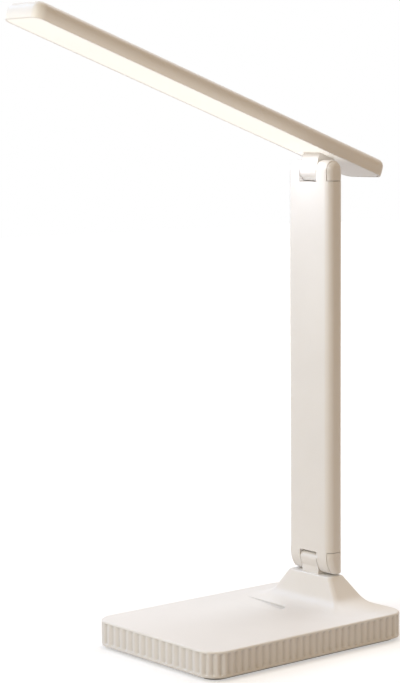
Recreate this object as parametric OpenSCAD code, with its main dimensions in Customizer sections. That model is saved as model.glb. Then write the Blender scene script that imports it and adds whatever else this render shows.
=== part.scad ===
// Folding LED desk lamp: a weighted base with a fixed neck, a folding arm and a folding light head.
// Frame: +X is the way the light head reaches, Y runs along both hinge axes, +Z is up.
// The origin is the middle of the base's footprint, on the table. Drawn with the arm upright.

/* [Base] */
// Length of the base, front to back
base_l = 161; // [155:1:170]
// Width of the base
base_w = 116; // [112:1:124]
// Height of the base's top face above the table
base_h = 18; // [17.5:0.5:19]
// Plan radius of the base's corners
base_r = 13; // [11:1:16]
// Depth of the grooves between the ribs round the base's side
rib_depth = 0.9; // [0.6:0.1:1.1]
// Ribs along each long side
ribs_long = 25; // [20:1:28]
// Ribs along each short side
ribs_short = 14; // [10:1:16]
// Ribs round each corner
ribs_corner = 4; // [3:1:5]
// Wall thickness of the base cover
base_wall = 2.2; // [2:0.1:2.4]

/* [Arm] */
// Distance between the two hinge axes
arm_l = 250.9; // [235.9:5:270.9]
// Width of the arm, along the hinge axes
arm_w = 39; // [37:0.5:41]
// Thickness of the arm, which is also the diameter of its rounded upper end
arm_t = 13.2; // [13:0.1:13.6]
// Radius of the arm's long edges
arm_r = 4.8; // [3.5:0.1:5.2]
// Lower hinge axis, measured forward from the middle of the base
hinge_x = -55; // [-57:0.5:-53]
// Height of the lower hinge axis above the table
hinge_z = 44.1; // [43.6:0.1:45.6]
// Width of the tongue that stands in each fork
tongue_w = 15; // [14:0.5:16]
// Depth of the side caps over the hinge ends
cap_depth = 2.8; // [2.4:0.1:3.2]

/* [Head] */
// Length of the head in front of its hinge
head_front = 241.5; // [220:0.5:242]
// Length of the head behind its hinge
head_rear = 43.5; // [40:0.5:50]
// Width of the head
head_w = 35; // [34:0.5:38]
// Thickness of the head
head_t = 10.6; // [9.8:0.1:11]
// Distance from the hinge axis to the head's underside
head_gap = 9.5; // [9:0.1:10]
// Tilt of the head above level, with the arm upright
head_tilt = 19.3; // [0:0.1:40]
// Plan radius of the head's corners
head_r = 6.5; // [5:0.1:7]
// Radius of the head's long top edges
head_edge = 4.7; // [3.5:0.1:4.8]
// Wall thickness of the head's housing
head_wall = 1.6; // [1.4:0.1:1.8]

/* [Fits] */
// Radius of each hinge pin
pin_r = 1.8; // [1.6:0.1:2]
// Radial clearance between a pin and the bushes that turn on it
pin_fit = 0.05; // [0.03:0.01:0.08]
// Side gap between a tongue and its fork
fork_gap = 0.4; // [0.4:0.05:0.5]

/* [Hidden] */

$fn = 48;
eps = 0.01;
white = [0.93, 0.91, 0.88];
soft_white = [0.97, 0.96, 0.93];
dark_grey = [0.22, 0.22, 0.23];
steel = [0.62, 0.63, 0.65];
copper_red = [0.72, 0.16, 0.13];

// Heights in the base
foot_lift = 0.8;
plate_t = 2;
plate_top = foot_lift + plate_t;
cover_z0 = 2;
lip_h = 1.4;
rim_h = 1.4;
rim_edge = 1.2;
crest_inset = 0.1;
top_t = 2.4;
ceiling_z = base_h - top_t;
rib_z0 = cover_z0 + lip_h;
rim_z0 = base_h - rim_h;
side_t = base_wall + rib_depth;
plate_inset = side_t + 0.1;
foot_inset = plate_inset + 1.2;
foot_w = 4;
foot_sunk = 0.5;

// Counterweight plate
weight_x = [-64, 56];
weight_y = 40;
weight_z = [plate_top + 0.2, 7.2];

// Screw places, as seen from above, with the clearance holes and head recesses of the screws
base_boss = [base_l / 2 - 12.5, base_w / 2 - 12];
weight_boss = [[-40, 33], [-40, -33], [46, 33], [46, -33]];
boss_r = 3.3;
screw_r = 1.4;
pilot_r = 1.45;
clear_r = 1.6;
recess_r = [2.9, 3];
recess_depth = [1, 1.6];

// Bolts that hold the stem of the lower hinge down on the weight
bolt_y = 4;
bolt_r = 2;
bolt_head = [3.5, 2];
bolt_room = [0.2, 0.1, 0.05];
bolt_end = 19;

// Control board
board_x = [-76, -44];
board_y = [-42, -12];
board_z = [9.2, 10.8];
board_boss = [[-66, -38], [-72.5, -15]];
board_post_r = 2.6;
board_pilot_r = 1;
port_y = -30;
port_size = [7.3, 8.9, 3.2];
port_wall = 0.3;
port_r = 1.5;

// Battery, in the middle of the base
battery_x = 25;
battery_size = [50, 34, 5.6];
tape_size = [46, 30, 0.4];

// Finger scoop in the top of the base: a ramp that ends in a half-round wall
scoop_x = -23;
scoop_y = [-40, 2];
scoop_r = 8;
scoop_depth = 2.6;
bed_t = 2.4;
bed_z = base_h - scoop_depth - bed_t;

// Both hinges: fork, pin and the small parts on it
knuckle_r = arm_t / 2;
slot_w = tongue_w + 2 * fork_gap;
ear_face = arm_w / 2 - cap_depth;
web_face = 11.9;
bush_r = 2.7;
cup_r = 4.1;
washer_r = 3.6;
washer_t = 0.8;
washer_gap = 0.05;
disc_r = 4.6;
disc_gap = 0.05;
nut_af = 6;
nut_t = 2.8;
pin_head_r = 3.4;
pin_head_t = 2.2;
wire_r = 1;
wire_x = -3.6;
wire_room = 0.2;
wire_slot = 1.25;
pin_grip = 0.02;

// Slot and cap heights at each end of the arm, from that end's hinge axis
slot_up = knuckle_r + 0.4;
slot_low = 8;
cap_up = knuckle_r;
cap_low = 8.6;
cap_gap = 0.4;

// Lower end of the arm, in the arm's frame: its front curves back, its rear runs straight down
curve_r = 15;
curve_z = 5.3;
foot_z = 5.7;
heel_r = 1.5;
arm_flat = 0.3;
foot_step = 0.04;

// Lower tongue: rounded top corners, and a lower part set back from the arm's front
tongue_top = 6.7;
tongue_corner = 3.7;
tongue_set = 1.9;

// Neck: its top follows the arm's outline, and it flares into the base
neck_gap = 1.1;
neck_top = hinge_z - foot_z - neck_gap;
neck_h = neck_top - base_h;
neck_steps = 12;
neck_foot = 7.3;
neck_front = [0.26, 9];
neck_rear = [0.55, 5.9];
neck_side = [0.73, 14];
neck_r = 3;
neck_corner = 8;
stem_x = 4.5;
stem_y = 7.3;
stem_room = 0.3;
stem_wire_room = 0.5;
neck_hollow_k = [12, 8.5, 5, top_t];

// Hollow, back cover and screws of the arm, in the arm's frame
arm_hollow_z = [slot_low + 2.5, arm_l - slot_up - 2.5];
arm_hollow = [9.2, arm_w - 4.4];
back_x = [-knuckle_r, -knuckle_r + 1.2];
back_z = [15, arm_l - 15];
back_w = 28.4;
back_rim = 1.2;
back_gap = 0.1;
arm_screw_z = [30, arm_l / 2, arm_l - 30];

// Head, in its own frame: origin on the hinge axis, +X along the head, +Z out of its top
head_l = head_front + head_rear;
head_mid = (head_front - head_rear) / 2;
head_top = head_gap + head_t;
head_ceiling = head_top - head_wall;
lens_x0 = 9;
lens_t = 1.8;
rear_cover_t = 1.5;
block_flange_z = [head_gap + 1.7, head_gap + 3.9];
block_flange_x = [-20, 8.4];
block_flange_y = 14;
head_boss = [[-16, 10], [-16, -10], [5.5, 10], [5.5, -10]];
head_boss_r = [2.4, 1.25];
board_stud_x = [24:64:216];
board_stud_r = 2;
board_head_z = [head_gap + 5.1, head_gap + 6.3];
led_rows = [-6, 6];
leds_per_row = 20;
led_size = [3.5, 2.8, 0.7];
led_board_x = [12, head_front - 6];
led_board_y = 12;
reflector_y = 14;
reflector_z = [board_head_z[0] - 0.6, board_head_z[0] - 0.3];
reflector_hole = [4.8, 4];

// ---------------------------------------------------------------- shared shapes

// Rounded rectangle, centred, as a flat outline
module rounded_rect(l, w, r) {
    square([l - 2 * r, w], center = true);
    square([l, w - 2 * r], center = true);
    for (x = [-1, 1], y = [-1, 1])
        translate([x * (l / 2 - r), y * (w / 2 - r)]) circle(r);
}

// Quarter of a disc in the first quadrant
module quarter_disc(r) {
    intersection() {
        circle(r);
        square(r + eps);
    }
}

// Slab with rounded corners in plan and a rounded top edge all round
module soft_slab(l, w, r, h, edge) {
    linear_extrude(h - edge) rounded_rect(l, w, r);
    linear_extrude(h) rounded_rect(l - 2 * edge, w - 2 * edge, r - edge);
    translate([0, 0, h - edge]) {
        for (s = [0, 180]) rotate(s) {
            translate([l / 2 - edge, w / 2 - r, 0]) rotate([90, 0, 0])
                linear_extrude(w - 2 * r) quarter_disc(edge);
            translate([-l / 2 + r, w / 2 - edge, 0]) rotate([90, 0, 90])
                linear_extrude(l - 2 * r) quarter_disc(edge);
            translate([l / 2 - r, w / 2 - r, 0])
                rotate_extrude(angle = 90) translate([r - edge, 0]) quarter_disc(edge);
            translate([-l / 2 + r, w / 2 - r, 0]) rotate(90)
                rotate_extrude(angle = 90) translate([r - edge, 0]) quarter_disc(edge);
        }
    }
}

// Cylinder along Y from y0 to y1
module y_rod(r, y0, y1) {
    translate([0, y0, 0]) rotate([-90, 0, 0]) cylinder(r = r, h = y1 - y0);
}

// Ring along Y from y0 to y1
module y_ring(r, bore, y0, y1) {
    difference() {
        y_rod(r, y0, y1);
        y_rod(bore, y0 - 1, y1 + 1);
    }
}

// Box from its lowest and highest corners
module span(lo, hi) {
    translate(lo) cube(hi - lo);
}

// Directions and rings for a swept wire
function unit(v) = v / norm(v);
function travel(p, i) =
    unit((i == 0 ? [0, 0, 0] : unit(p[i] - p[i - 1]))
        + (i == len(p) - 1 ? [0, 0, 0] : unit(p[i + 1] - p[i])));
function wire_ring(p, i, r, side) =
    let (t = travel(p, i), a = unit(side - (side * t) * t), b = cross(t, a))
    [for (k = [0:7]) p[i] + r * (cos(45 * k) * a + sin(45 * k) * b)];

// Solid through a list of rings with the same number of points each
module loft(rings) {
    n = len(rings[0]);
    m = len(rings);
    points = [for (ring = rings, p = ring) p];
    sides = [for (i = [0:m - 2], k = [0:n - 1])
        each let (a = i * n + k, b = i * n + (k + 1) % n) [[a, a + n, b], [b, a + n, b + n]]];
    polyhedron(points, concat(sides,
        [[for (k = [0:n - 1]) k], [for (k = [n - 1:-1:0]) (m - 1) * n + k]]));
}

// Insulated wire along a list of points; side is a direction across all of them
module wire(points, r, side) {
    loft([for (i = [0:len(points) - 1]) wire_ring(points, i, r, side)]);
}

// ---------------------------------------------------------------- frames of the moving bodies

// Arm frame: origin on the lower hinge axis, +Z along the arm
module in_arm() {
    translate([hinge_x, 0, hinge_z]) children();
}

module in_head() {
    translate([hinge_x, 0, hinge_z + arm_l]) rotate([0, -head_tilt, 0]) children();
}

// Puts a piece of the lower hinge at the upper hinge
module at_upper() {
    translate([0, 0, arm_l]) children();
}

// ---------------------------------------------------------------- base

// Outline of the ribbed side: a plain core with a round rib at each step
module ribbed_outline() {
    base_outline(0.8 * rib_depth);
    long_pitch = (base_l - 2 * base_r) / ribs_long;
    short_pitch = (base_w - 2 * base_r) / ribs_short;
    corner_step = 90 / ribs_corner;
    for (side = [-1, 1], i = [0:ribs_long - 1])
        rib([-base_l / 2 + base_r + (i + 0.5) * long_pitch, side * base_w / 2],
            [0, -side], long_pitch);
    for (side = [-1, 1], i = [0:ribs_short - 1])
        rib([side * base_l / 2, -base_w / 2 + base_r + (i + 0.5) * short_pitch],
            [-side, 0], short_pitch);
    for (sx = [-1, 1], sy = [-1, 1], i = [0:ribs_corner - 1]) {
        a = (i + 0.5) * corner_step;
        out = [sx * cos(a), sy * sin(a)];
        rib([sx * (base_l / 2 - base_r), sy * (base_w / 2 - base_r)] + base_r * out,
            -out, base_r * corner_step * PI / 180);
    }
}

// One rib: a circle with its crest just inside the given point, rib_depth high over its pitch
module rib(crest, inward, pitch) {
    r = (rib_depth * rib_depth + pitch * pitch / 4) / (2 * rib_depth);
    translate(crest + (r + crest_inset) * inward) circle(r);
}

// How much of its foot the neck has, k below its top: none above the foot, all of it at the base
function foot_share(k) =
    let (t = 1 - (neck_h - k) / neck_foot)
    t > 0 ? 1 - sqrt(max(0, 1 - t * t)) : 0;

// How far a face of the neck has flared, from its slope and the reach of its foot
function flare(k, face) = face[0] * k + face[1] * foot_share(k);

// Outline of the neck, k below its top and cut in by an inset
function neck_ring(k, inset) =
    let (
        front = knuckle_r + flare(k, neck_front) - inset,
        rear = knuckle_r + flare(k, neck_rear) - inset,
        side = arm_w / 2 + flare(k, neck_side) - inset,
        r = max(1, neck_r + neck_corner * foot_share(k) - inset)
    )
    [for (c = [[1, 1, 0], [-1, 1, 90], [-1, -1, 180], [1, -1, 270]], a = [0:6])
        [hinge_x + (c[0] > 0 ? front - r : -rear + r) + r * cos(c[2] + 15 * a),
         c[1] * (side - r) + r * sin(c[2] + 15 * a),
         neck_top - k]];

module neck() {
    foot = [for (p = neck_ring(neck_h, 0)) [p[0], p[1], base_h - 1]];
    loft(concat([foot],
        [for (i = [0:neck_steps]) neck_ring(neck_h * cos(90 * i / neck_steps), 0)]));
}

module neck_hollow() {
    foot = [for (p = neck_ring(neck_hollow_k[0], base_wall)) [p[0], p[1], ceiling_z - 1]];
    loft(concat([foot], [for (k = neck_hollow_k) neck_ring(k, base_wall)]));
}

// Outline of the scoop in plan, grown by a margin
module scoop_outline(margin) {
    r = scoop_r + margin;
    translate([scoop_x, scoop_y[1] - scoop_r]) circle(r);
    translate([scoop_x - r, scoop_y[0] - margin])
        square([2 * r, scoop_y[1] - scoop_r - scoop_y[0] + margin]);
}

module scoop() {
    run = scoop_y[1] - scoop_y[0];
    intersection() {
        translate([0, 0, bed_z]) linear_extrude(base_h) scoop_outline(0);
        translate([scoop_x, scoop_y[0], base_h]) rotate([-atan(scoop_depth / run), 0, 0])
            span([-2 * scoop_r, -run, 0], [2 * scoop_r, 2 * run, base_h]);
    }
}

module port_hole() {
    translate([-base_l / 2 - 1, port_y, board_z[1] + port_size[2] / 2]) rotate([0, 90, 0])
        linear_extrude(side_t + 2) rounded_rect(
            port_size[2] + 2 * port_wall, port_size[1] + 2 * port_wall, port_r + port_wall);
}

// Post that hangs from the cover's ceiling, with a pilot hole from below
module post(place, z0, r, bore) {
    translate([place[0], place[1], z0]) difference() {
        cylinder(r = r, h = ceiling_z - z0 + eps);
        translate([0, 0, -1]) cylinder(r = bore, h = ceiling_z - z0);
    }
}

module base_cover() color(white) {
    difference() {
        union() {
            translate([0, 0, cover_z0]) linear_extrude(lip_h) base_outline(0);
            translate([0, 0, rib_z0]) linear_extrude(rim_z0 - rib_z0) ribbed_outline();
            translate([0, 0, rim_z0]) soft_slab(base_l, base_w, base_r, rim_h, rim_edge);
            neck();
        }
        difference() {
            translate([0, 0, cover_z0 - 1]) linear_extrude(ceiling_z - cover_z0 + 1)
                base_outline(side_t);
            translate([0, 0, bed_z]) linear_extrude(base_h) scoop_outline(2);
        }
        neck_hollow();
        span([hinge_x - stem_x - stem_wire_room, -stem_y - stem_room, ceiling_z - 1],
            [hinge_x + stem_x + stem_room, stem_y + stem_room, neck_top + 1]);
        scoop();
        port_hole();
    }
    for (x = [-1, 1], y = [-1, 1])
        post([x * base_boss[0], y * base_boss[1]], plate_top, boss_r, pilot_r);
    for (p = weight_boss) post(p, weight_z[1], boss_r, pilot_r);
    for (p = board_boss) post(p, board_z[1], board_post_r, board_pilot_r);
}

// Outline of the base, moved in by an inset
module base_outline(inset) {
    rounded_rect(base_l - 2 * inset, base_w - 2 * inset, base_r - inset);
}

module base_plate() color(dark_grey) difference() {
    translate([0, 0, foot_lift]) linear_extrude(plate_t) base_outline(plate_inset);
    for (x = [-1, 1], y = [-1, 1]) translate([x * base_boss[0], y * base_boss[1], 0]) {
        cylinder(r = recess_r[0], h = foot_lift + recess_depth[0]);
        cylinder(r = clear_r, h = plate_top + 1);
    }
    foot_ring(0.1);
}

// Non-slip ring, with a gap round it when it is used to cut its seat
module foot_ring(gap) {
    linear_extrude(foot_lift + foot_sunk) difference() {
        base_outline(foot_inset - gap);
        base_outline(foot_inset + foot_w + gap);
    }
}

module rubber_foot_ring() color([0.12, 0.12, 0.12]) foot_ring(0);

module base_weight() color(steel) difference() {
    span([weight_x[0], -weight_y, weight_z[0]], [weight_x[1], weight_y, weight_z[1]]);
    for (p = weight_boss) translate([p[0], p[1], 0]) {
        cylinder(r = recess_r[1], h = weight_z[0] + recess_depth[1]);
        cylinder(r = clear_r, h = weight_z[1] + 1);
    }
    for (y = [-bolt_y, bolt_y]) translate([hinge_x, y, 0]) {
        cylinder(r = bolt_head[0] + bolt_room[0], h = weight_z[0] + bolt_head[1] + bolt_room[1]);
        cylinder(r = bolt_r + bolt_room[1], h = weight_z[1] + 1);
    }
}

// Screw pointing up: head from z0, shaft to z1
module screw_up(head_r, head_t, r, z0, z1) {
    translate([0, 0, z0]) cylinder(r = head_r, h = head_t);
    translate([0, 0, z0 + head_t - eps]) cylinder(r = r, h = z1 - z0 - head_t);
}

module base_screws() color(steel)
    for (x = [-1, 1], y = [-1, 1]) translate([x * base_boss[0], y * base_boss[1], 0])
        screw_up(2.7, 0.9, screw_r, foot_lift + 0.1, 11);

module weight_screws() color(steel)
    for (p = weight_boss) translate([p[0], p[1], 0])
        screw_up(2.8, 1.5, screw_r, weight_z[0] + 0.1, 13.5);

module stand_bolts() color(steel)
    for (y = [-bolt_y, bolt_y]) translate([hinge_x, y, 0])
        screw_up(bolt_head[0], bolt_head[1], bolt_r, weight_z[0] + bolt_room[1], bolt_end);

module battery_tape() color([0.85, 0.85, 0.8])
    translate([battery_x - tape_size[0] / 2, -tape_size[1] / 2, weight_z[1]]) cube(tape_size);

module battery() color([0.30, 0.42, 0.60])
    translate([battery_x, 0, weight_z[1] + tape_size[2]])
        soft_slab(battery_size[0], battery_size[1], 3, battery_size[2], 1.2);

module control_board() color([0.10, 0.36, 0.22]) difference() {
    span([board_x[0], board_y[0], board_z[0]], [board_x[1], board_y[1], board_z[1]]);
    for (p = board_boss) translate([p[0], p[1], 0]) cylinder(r = 1.1, h = board_z[1] + 1);
}

module board_parts() color([0.15, 0.15, 0.16]) {
    z = board_z[1];
    span([-57, -41, z], [-51, -35, z + 1]);
    span([-60, -28, z], [-54, -22, z + 1.6]);
    span([-50, -29, z], [-45, -23, z + 2.8]);
    span([-63, -19, z], [-58, -14, z + 2.8]);
    span([-69, -24, z], [-65, -20, z + 1.2]);
}

module board_screws() color(steel)
    for (p = board_boss) translate([p[0], p[1], 0]) screw_up(1.9, 1.1, 0.95, board_z[0] - 1.1, 14);

module charge_port() color(steel)
    translate([-base_l / 2 + 1.2, port_y, board_z[1] + port_size[2] / 2]) rotate([0, 90, 0])
        difference() {
            linear_extrude(port_size[0]) rounded_rect(port_size[2], port_size[1], port_r);
            translate([0, 0, -1]) linear_extrude(port_size[0] - 0.5) rounded_rect(
                port_size[2] - 2 * port_wall, port_size[1] - 2 * port_wall, port_r - port_wall);
        }

module touch_sensor() color([0.80, 0.55, 0.25])
    span([scoop_x - 7, scoop_y[0], bed_z - 0.3], [scoop_x + 7, scoop_y[1] - scoop_r, bed_z]);

module base_harness() color(copper_red) {
    x = hinge_x + wire_x;
    wire([[x - 3, -13.8, 12.2], [x - 3, -4, 12.2], [x - 2.8, -1.2, 12.2], [x - 2.2, 0, 12.6],
          [x - 0.5, 0, 14.6], [x, 0, 15.8], [x, 0, hinge_z + 4.6]], wire_r, [1, 0, 0.2]);
    wire([[-44.7, -26, 12.2], [-30, -26, 11.4], [-12, -12, 10.4], [0, -12, 10.4]],
         wire_r, [0, 0, 1]);
}

// ---------------------------------------------------------------- hinges

// Side view of the upper tongue: a half disc over a square shank that ends at z0
module round_tongue(z0) {
    intersection() {
        circle(knuckle_r);
        translate([-arm_t, 0]) square([2 * arm_t, arm_t]);
    }
    translate([-knuckle_r, z0]) square([arm_t, -z0]);
}

// Side view of the lower end of the arm, up to z1: curved in front, straight behind
module foot_outline(z1) {
    difference() {
        union() {
            translate([-knuckle_r, heel_r - foot_z]) square([arm_t, z1 + foot_z - heel_r]);
            translate([heel_r - knuckle_r, -foot_z]) square([arm_t - heel_r, heel_r + eps]);
            translate([heel_r - knuckle_r, heel_r - foot_z]) circle(heel_r);
        }
        difference() {
            translate([0, -arm_t]) square([arm_t, arm_t + curve_z]);
            translate([knuckle_r - curve_r, curve_z]) circle(curve_r, $fn = 160);
        }
    }
}

// Side view of the lower tongue: it follows the arm's front, then stands on the neck
module lower_tongue() {
    z0 = neck_top - hinge_z;
    intersection() {
        translate([-knuckle_r, -arm_t]) square([arm_t, arm_t + tongue_top - tongue_corner]);
        union() {
            foot_outline(tongue_top);
            translate([-knuckle_r, z0]) square([arm_t - tongue_set, tongue_top - z0]);
        }
    }
    translate([0, tongue_top - tongue_corner]) {
        for (x = [-1, 1]) translate([x * (knuckle_r - tongue_corner), 0]) intersection() {
            circle(tongue_corner);
            translate([-tongue_corner, -eps]) square([2 * tongue_corner, tongue_corner + eps]);
        }
        translate([tongue_corner - knuckle_r, -eps])
            square([arm_t - 2 * tongue_corner, tongue_corner + eps]);
    }
}

// Extrudes a side view along the hinge axis to a width about the middle
module across(width) {
    rotate([90, 0, 0]) linear_extrude(width, center = true) children();
}

module lower_hinge_block() color(white) in_arm() difference() {
    union() {
        across(tongue_w) lower_tongue();
        span([-stem_x, -stem_y, weight_z[1] - hinge_z], [stem_x, stem_y, neck_top - hinge_z]);
    }
    y_rod(pin_r + pin_grip, -tongue_w, tongue_w);
    translate([wire_x, 0, -9]) cylinder(r = wire_r + wire_room, h = 20);
    span([-stem_x - 1, -wire_slot, -hinge_z], [wire_x + wire_slot, wire_slot, -8.5]);
    for (y = [-bolt_y, bolt_y]) translate([0, y, -hinge_z])
        cylinder(r = bolt_r + bolt_room[2], h = bolt_end + 1.5);
}

// Pin with its head, through both ears of a fork
module hinge_pin() {
    seat = web_face + washer_t + 2 * washer_gap;
    y_rod(pin_r, -seat, seat + nut_t + 0.3);
    y_rod(pin_head_r, -seat - pin_head_t, -seat);
}

module hinge_nut() difference() {
    rotate([-90, 0, 0]) translate([0, 0, web_face + washer_t + 2 * washer_gap])
        cylinder(r = nut_af / 2 / cos(30), h = nut_t, $fn = 6);
    y_rod(pin_r + pin_grip, web_face, web_face + 5);
}

module hinge_spring_washers()
    for (s = [0, 180]) rotate(s)
        y_ring(washer_r, pin_r + 0.03, web_face + washer_gap, web_face + washer_gap + washer_t);

module hinge_bushes()
    for (s = [0, 180]) rotate(s) y_ring(bush_r, pin_r + pin_fit, slot_w / 2, web_face);

module hinge_friction_discs()
    for (s = [0, 180]) rotate(s)
        y_ring(disc_r, pin_r + 0.08, tongue_w / 2 + disc_gap, slot_w / 2 - disc_gap);

module lower_pin() color(steel) in_arm() hinge_pin();
module lower_nut() color(steel) in_arm() hinge_nut();
module lower_spring_washers() color(steel) in_arm() hinge_spring_washers();
module lower_bushes() color([0.75, 0.62, 0.35]) in_arm() hinge_bushes();
module lower_friction_discs() color(dark_grey) in_arm() hinge_friction_discs();
module upper_pin() color(steel) in_head() hinge_pin();
module upper_nut() color(steel) in_head() hinge_nut();
module upper_spring_washers() color(steel) in_head() hinge_spring_washers();
module upper_bushes() color([0.75, 0.62, 0.35]) in_arm() at_upper() hinge_bushes();
module upper_friction_discs() color(dark_grey) in_arm() at_upper() hinge_friction_discs();

// ---------------------------------------------------------------- arm

// Half of the arm's cross section, as the profile of its rounded ends
module knuckle_profile() {
    intersection() {
        rounded_rect(arm_t, arm_w, arm_r);
        translate([0, -arm_w]) square([arm_t, 2 * arm_w]);
    }
}

// Rounded upper end of the arm, about the hinge axis
module knuckle() {
    rotate([90, 0, 0]) rotate_extrude(angle = 180) knuckle_profile();
}

// Outline of the arm's lower end at height z: its front curves back and its bottom edge is rounded
function arm_ring(z) =
    let (
        below = max(0, heel_r - foot_z - z),
        edge = heel_r - sqrt(max(0, heel_r * heel_r - below * below)),
        curve = curve_r - sqrt(curve_r * curve_r - pow(max(0, curve_z - z), 2)),
        front = knuckle_r - curve - edge - foot_step,
        rear = knuckle_r - edge - foot_step,
        side = arm_w / 2 - edge - foot_step,
        r = min(arm_r, (front + rear) / 2 - arm_flat)
    )
    [for (c = [[1, 1, 0], [-1, 1, 90], [-1, -1, 180], [1, -1, 270]], a = [0:6])
        [(c[0] > 0 ? front - r : r - rear) + r * cos(c[2] + 15 * a),
         c[1] * (side - r) + r * sin(c[2] + 15 * a), z]];

// Lower end of the arm, up to z1
module foot(z1) {
    edge_z = [for (a = [0, 30, 60]) heel_r * (1 - cos(a)) - foot_z];
    curve_zs = [for (i = [0:8]) heel_r - foot_z + (curve_z - heel_r + foot_z) * i / 8];
    loft([for (z = concat(edge_z, curve_zs, [z1])) arm_ring(z)]);
}

module arm_outer() {
    foot(cap_low + cap_gap);
    translate([0, 0, cap_low]) linear_extrude(arm_l - cap_low) rounded_rect(arm_t, arm_w, arm_r);
    at_upper() knuckle();
}

// Everything cut at one end of the arm, drawn at the lower hinge
module fork_cuts(slot, cap) {
    span([-arm_t, -slot_w / 2, -arm_t], [arm_t, slot_w / 2, slot]);
    for (s = [0, 180]) rotate(s) {
        span([-arm_t, ear_face, -arm_t], [arm_t, arm_w, cap]);
        y_rod(bush_r + pin_grip, 0, arm_w);
        y_rod(cup_r, web_face, arm_w);
    }
    translate([wire_x, 0, 0]) cylinder(r = wire_r + 2 * wire_room, h = 14);
}

module arm_housing() color(white) in_arm() {
    difference() {
        arm_outer();
        fork_cuts(slot_low, cap_low);
        at_upper() mirror([0, 0, 1]) fork_cuts(slot_up, cap_up);
        translate([0, 0, arm_hollow_z[0]]) linear_extrude(arm_hollow_z[1] - arm_hollow_z[0])
            square(arm_hollow, center = true);
        span([-arm_t, back_rim - back_w / 2, back_z[0] + back_rim],
            [0, back_w / 2 - back_rim, back_z[1] - back_rim]);
        span([-arm_t, -back_w / 2, back_z[0]], [back_x[1], back_w / 2, back_z[1]]);
    }
    for (z = arm_screw_z) translate([back_x[1] + 0.1, 0, z]) rotate([0, 90, 0]) difference() {
        cylinder(r = 2.8, h = arm_hollow[0] / 2 - back_x[1] - 0.1 + eps);
        translate([0, 0, -1]) cylinder(r = 1, h = 9);
    }
}

module arm_back_cover() color(white) in_arm() difference() {
    span([back_x[0], back_gap - back_w / 2, back_z[0] + back_gap],
        [back_x[1], back_w / 2 - back_gap, back_z[1] - back_gap]);
    for (z = arm_screw_z) translate([back_x[0] - 1, 0, z]) rotate([0, 90, 0]) {
        cylinder(r = 2.3, h = 1.8);
        cylinder(r = 1.1, h = 5);
    }
}

module arm_screws() color(steel) in_arm()
    for (z = arm_screw_z) translate([back_x[0], 0, z]) rotate([0, 90, 0])
        screw_up(2.2, 0.75, 0.95, 0.02, 8.5);

module arm_spine() color(steel) in_arm() difference() {
    span([3.2, -9.5, arm_hollow_z[0] + 1], [4.4, 9.5, arm_hollow_z[1] - 1]);
    for (z = arm_screw_z) translate([0, 0, z]) rotate([0, 90, 0]) cylinder(r = 3, h = 6);
}

module arm_harness() color(copper_red) in_arm()
    wire([[wire_x, 0, slot_low + 0.2], [wire_x, 0, 19], [wire_x, 7, 26],
          [wire_x, 7, arm_l - 26], [wire_x, 0, arm_l - 19], [wire_x, 0, arm_l - slot_up - 0.2]],
         wire_r, [1, 0, 0]);

// Cap over the outer side of one ear, on the +Y side: the end's form between two heights
module side_cap(z0, z1) {
    intersection() {
        children();
        span([-arm_t, ear_face + 0.05, z0], [arm_t, arm_w, z1]);
    }
    y_rod(cup_r - 0.2, ear_face - 0.6, ear_face + 0.1);
}

module low_cap() {
    side_cap(-arm_t, cap_low - cap_gap) foot(cap_low);
}

module up_cap() {
    side_cap(cap_gap - cap_up, arm_t) {
        translate([0, 0, -arm_t]) linear_extrude(arm_t) rounded_rect(arm_t, arm_w, arm_r);
        knuckle();
    }
}

module lower_cap_left() color(white) in_arm() low_cap();
module lower_cap_right() color(white) in_arm() mirror([0, 1, 0]) low_cap();
module upper_cap_left() color(white) in_arm() at_upper() up_cap();
module upper_cap_right() color(white) in_arm() at_upper() mirror([0, 1, 0]) up_cap();

// ---------------------------------------------------------------- head

module head_housing() color(white) in_head() {
    difference() {
        translate([head_mid, 0, head_gap]) soft_slab(head_l, head_w, head_r, head_t, head_edge);
        translate([head_mid, 0, head_gap - 1]) soft_slab(head_l - 2 * head_wall,
            head_w - 2 * head_wall, head_r - head_wall, head_t - head_wall + 1, head_edge - head_wall);
    }
    for (p = head_boss) translate([p[0], p[1], block_flange_z[1]]) difference() {
        cylinder(r = head_boss_r[0], h = head_ceiling - block_flange_z[1] + eps);
        translate([0, 0, -1]) cylinder(r = head_boss_r[1], h = head_ceiling - block_flange_z[1]);
    }
    for (x = board_stud_x) translate([x, 0, board_head_z[1]])
        cylinder(r = board_stud_r, h = head_ceiling - board_head_z[1] + eps);
}

// Outline of the opening under the head, less a running gap
module head_opening(gap) {
    translate([head_mid, 0]) rounded_rect(head_l - 2 * head_wall - 2 * gap,
        head_w - 2 * head_wall - 2 * gap, head_r - head_wall - gap);
}

module diffuser() color(soft_white) in_head() translate([0, 0, head_gap]) linear_extrude(lens_t)
    intersection() {
        head_opening(0.12);
        translate([lens_x0, -head_w]) square([head_l, 2 * head_w]);
    }

module head_rear_cover() color(white) in_head() translate([0, 0, head_gap])
    linear_extrude(rear_cover_t) difference() {
        intersection() {
            head_opening(0.12);
            translate([lens_x0 - 0.3 - head_l, -head_w]) square([head_l, 2 * head_w]);
        }
        square([arm_t + 0.4, tongue_w + 0.4], center = true);
    }

module upper_hinge_block() color(white) in_head() difference() {
    union() {
        rotate([180, 0, 0]) across(tongue_w) round_tongue(-block_flange_z[0]);
        span([block_flange_x[0], -block_flange_y, block_flange_z[0]],
            [block_flange_x[1], block_flange_y, block_flange_z[1]]);
    }
    y_rod(pin_r + pin_grip, -tongue_w, tongue_w);
    translate([wire_x, 0, -10]) cylinder(r = wire_r + wire_room, h = 30);
    for (p = head_boss) translate([p[0], p[1], 0]) {
        translate([0, 0, block_flange_z[0] - 1]) cylinder(r = 2.3, h = 2.2);
        cylinder(r = 1.3, h = head_top);
    }
}

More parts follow.
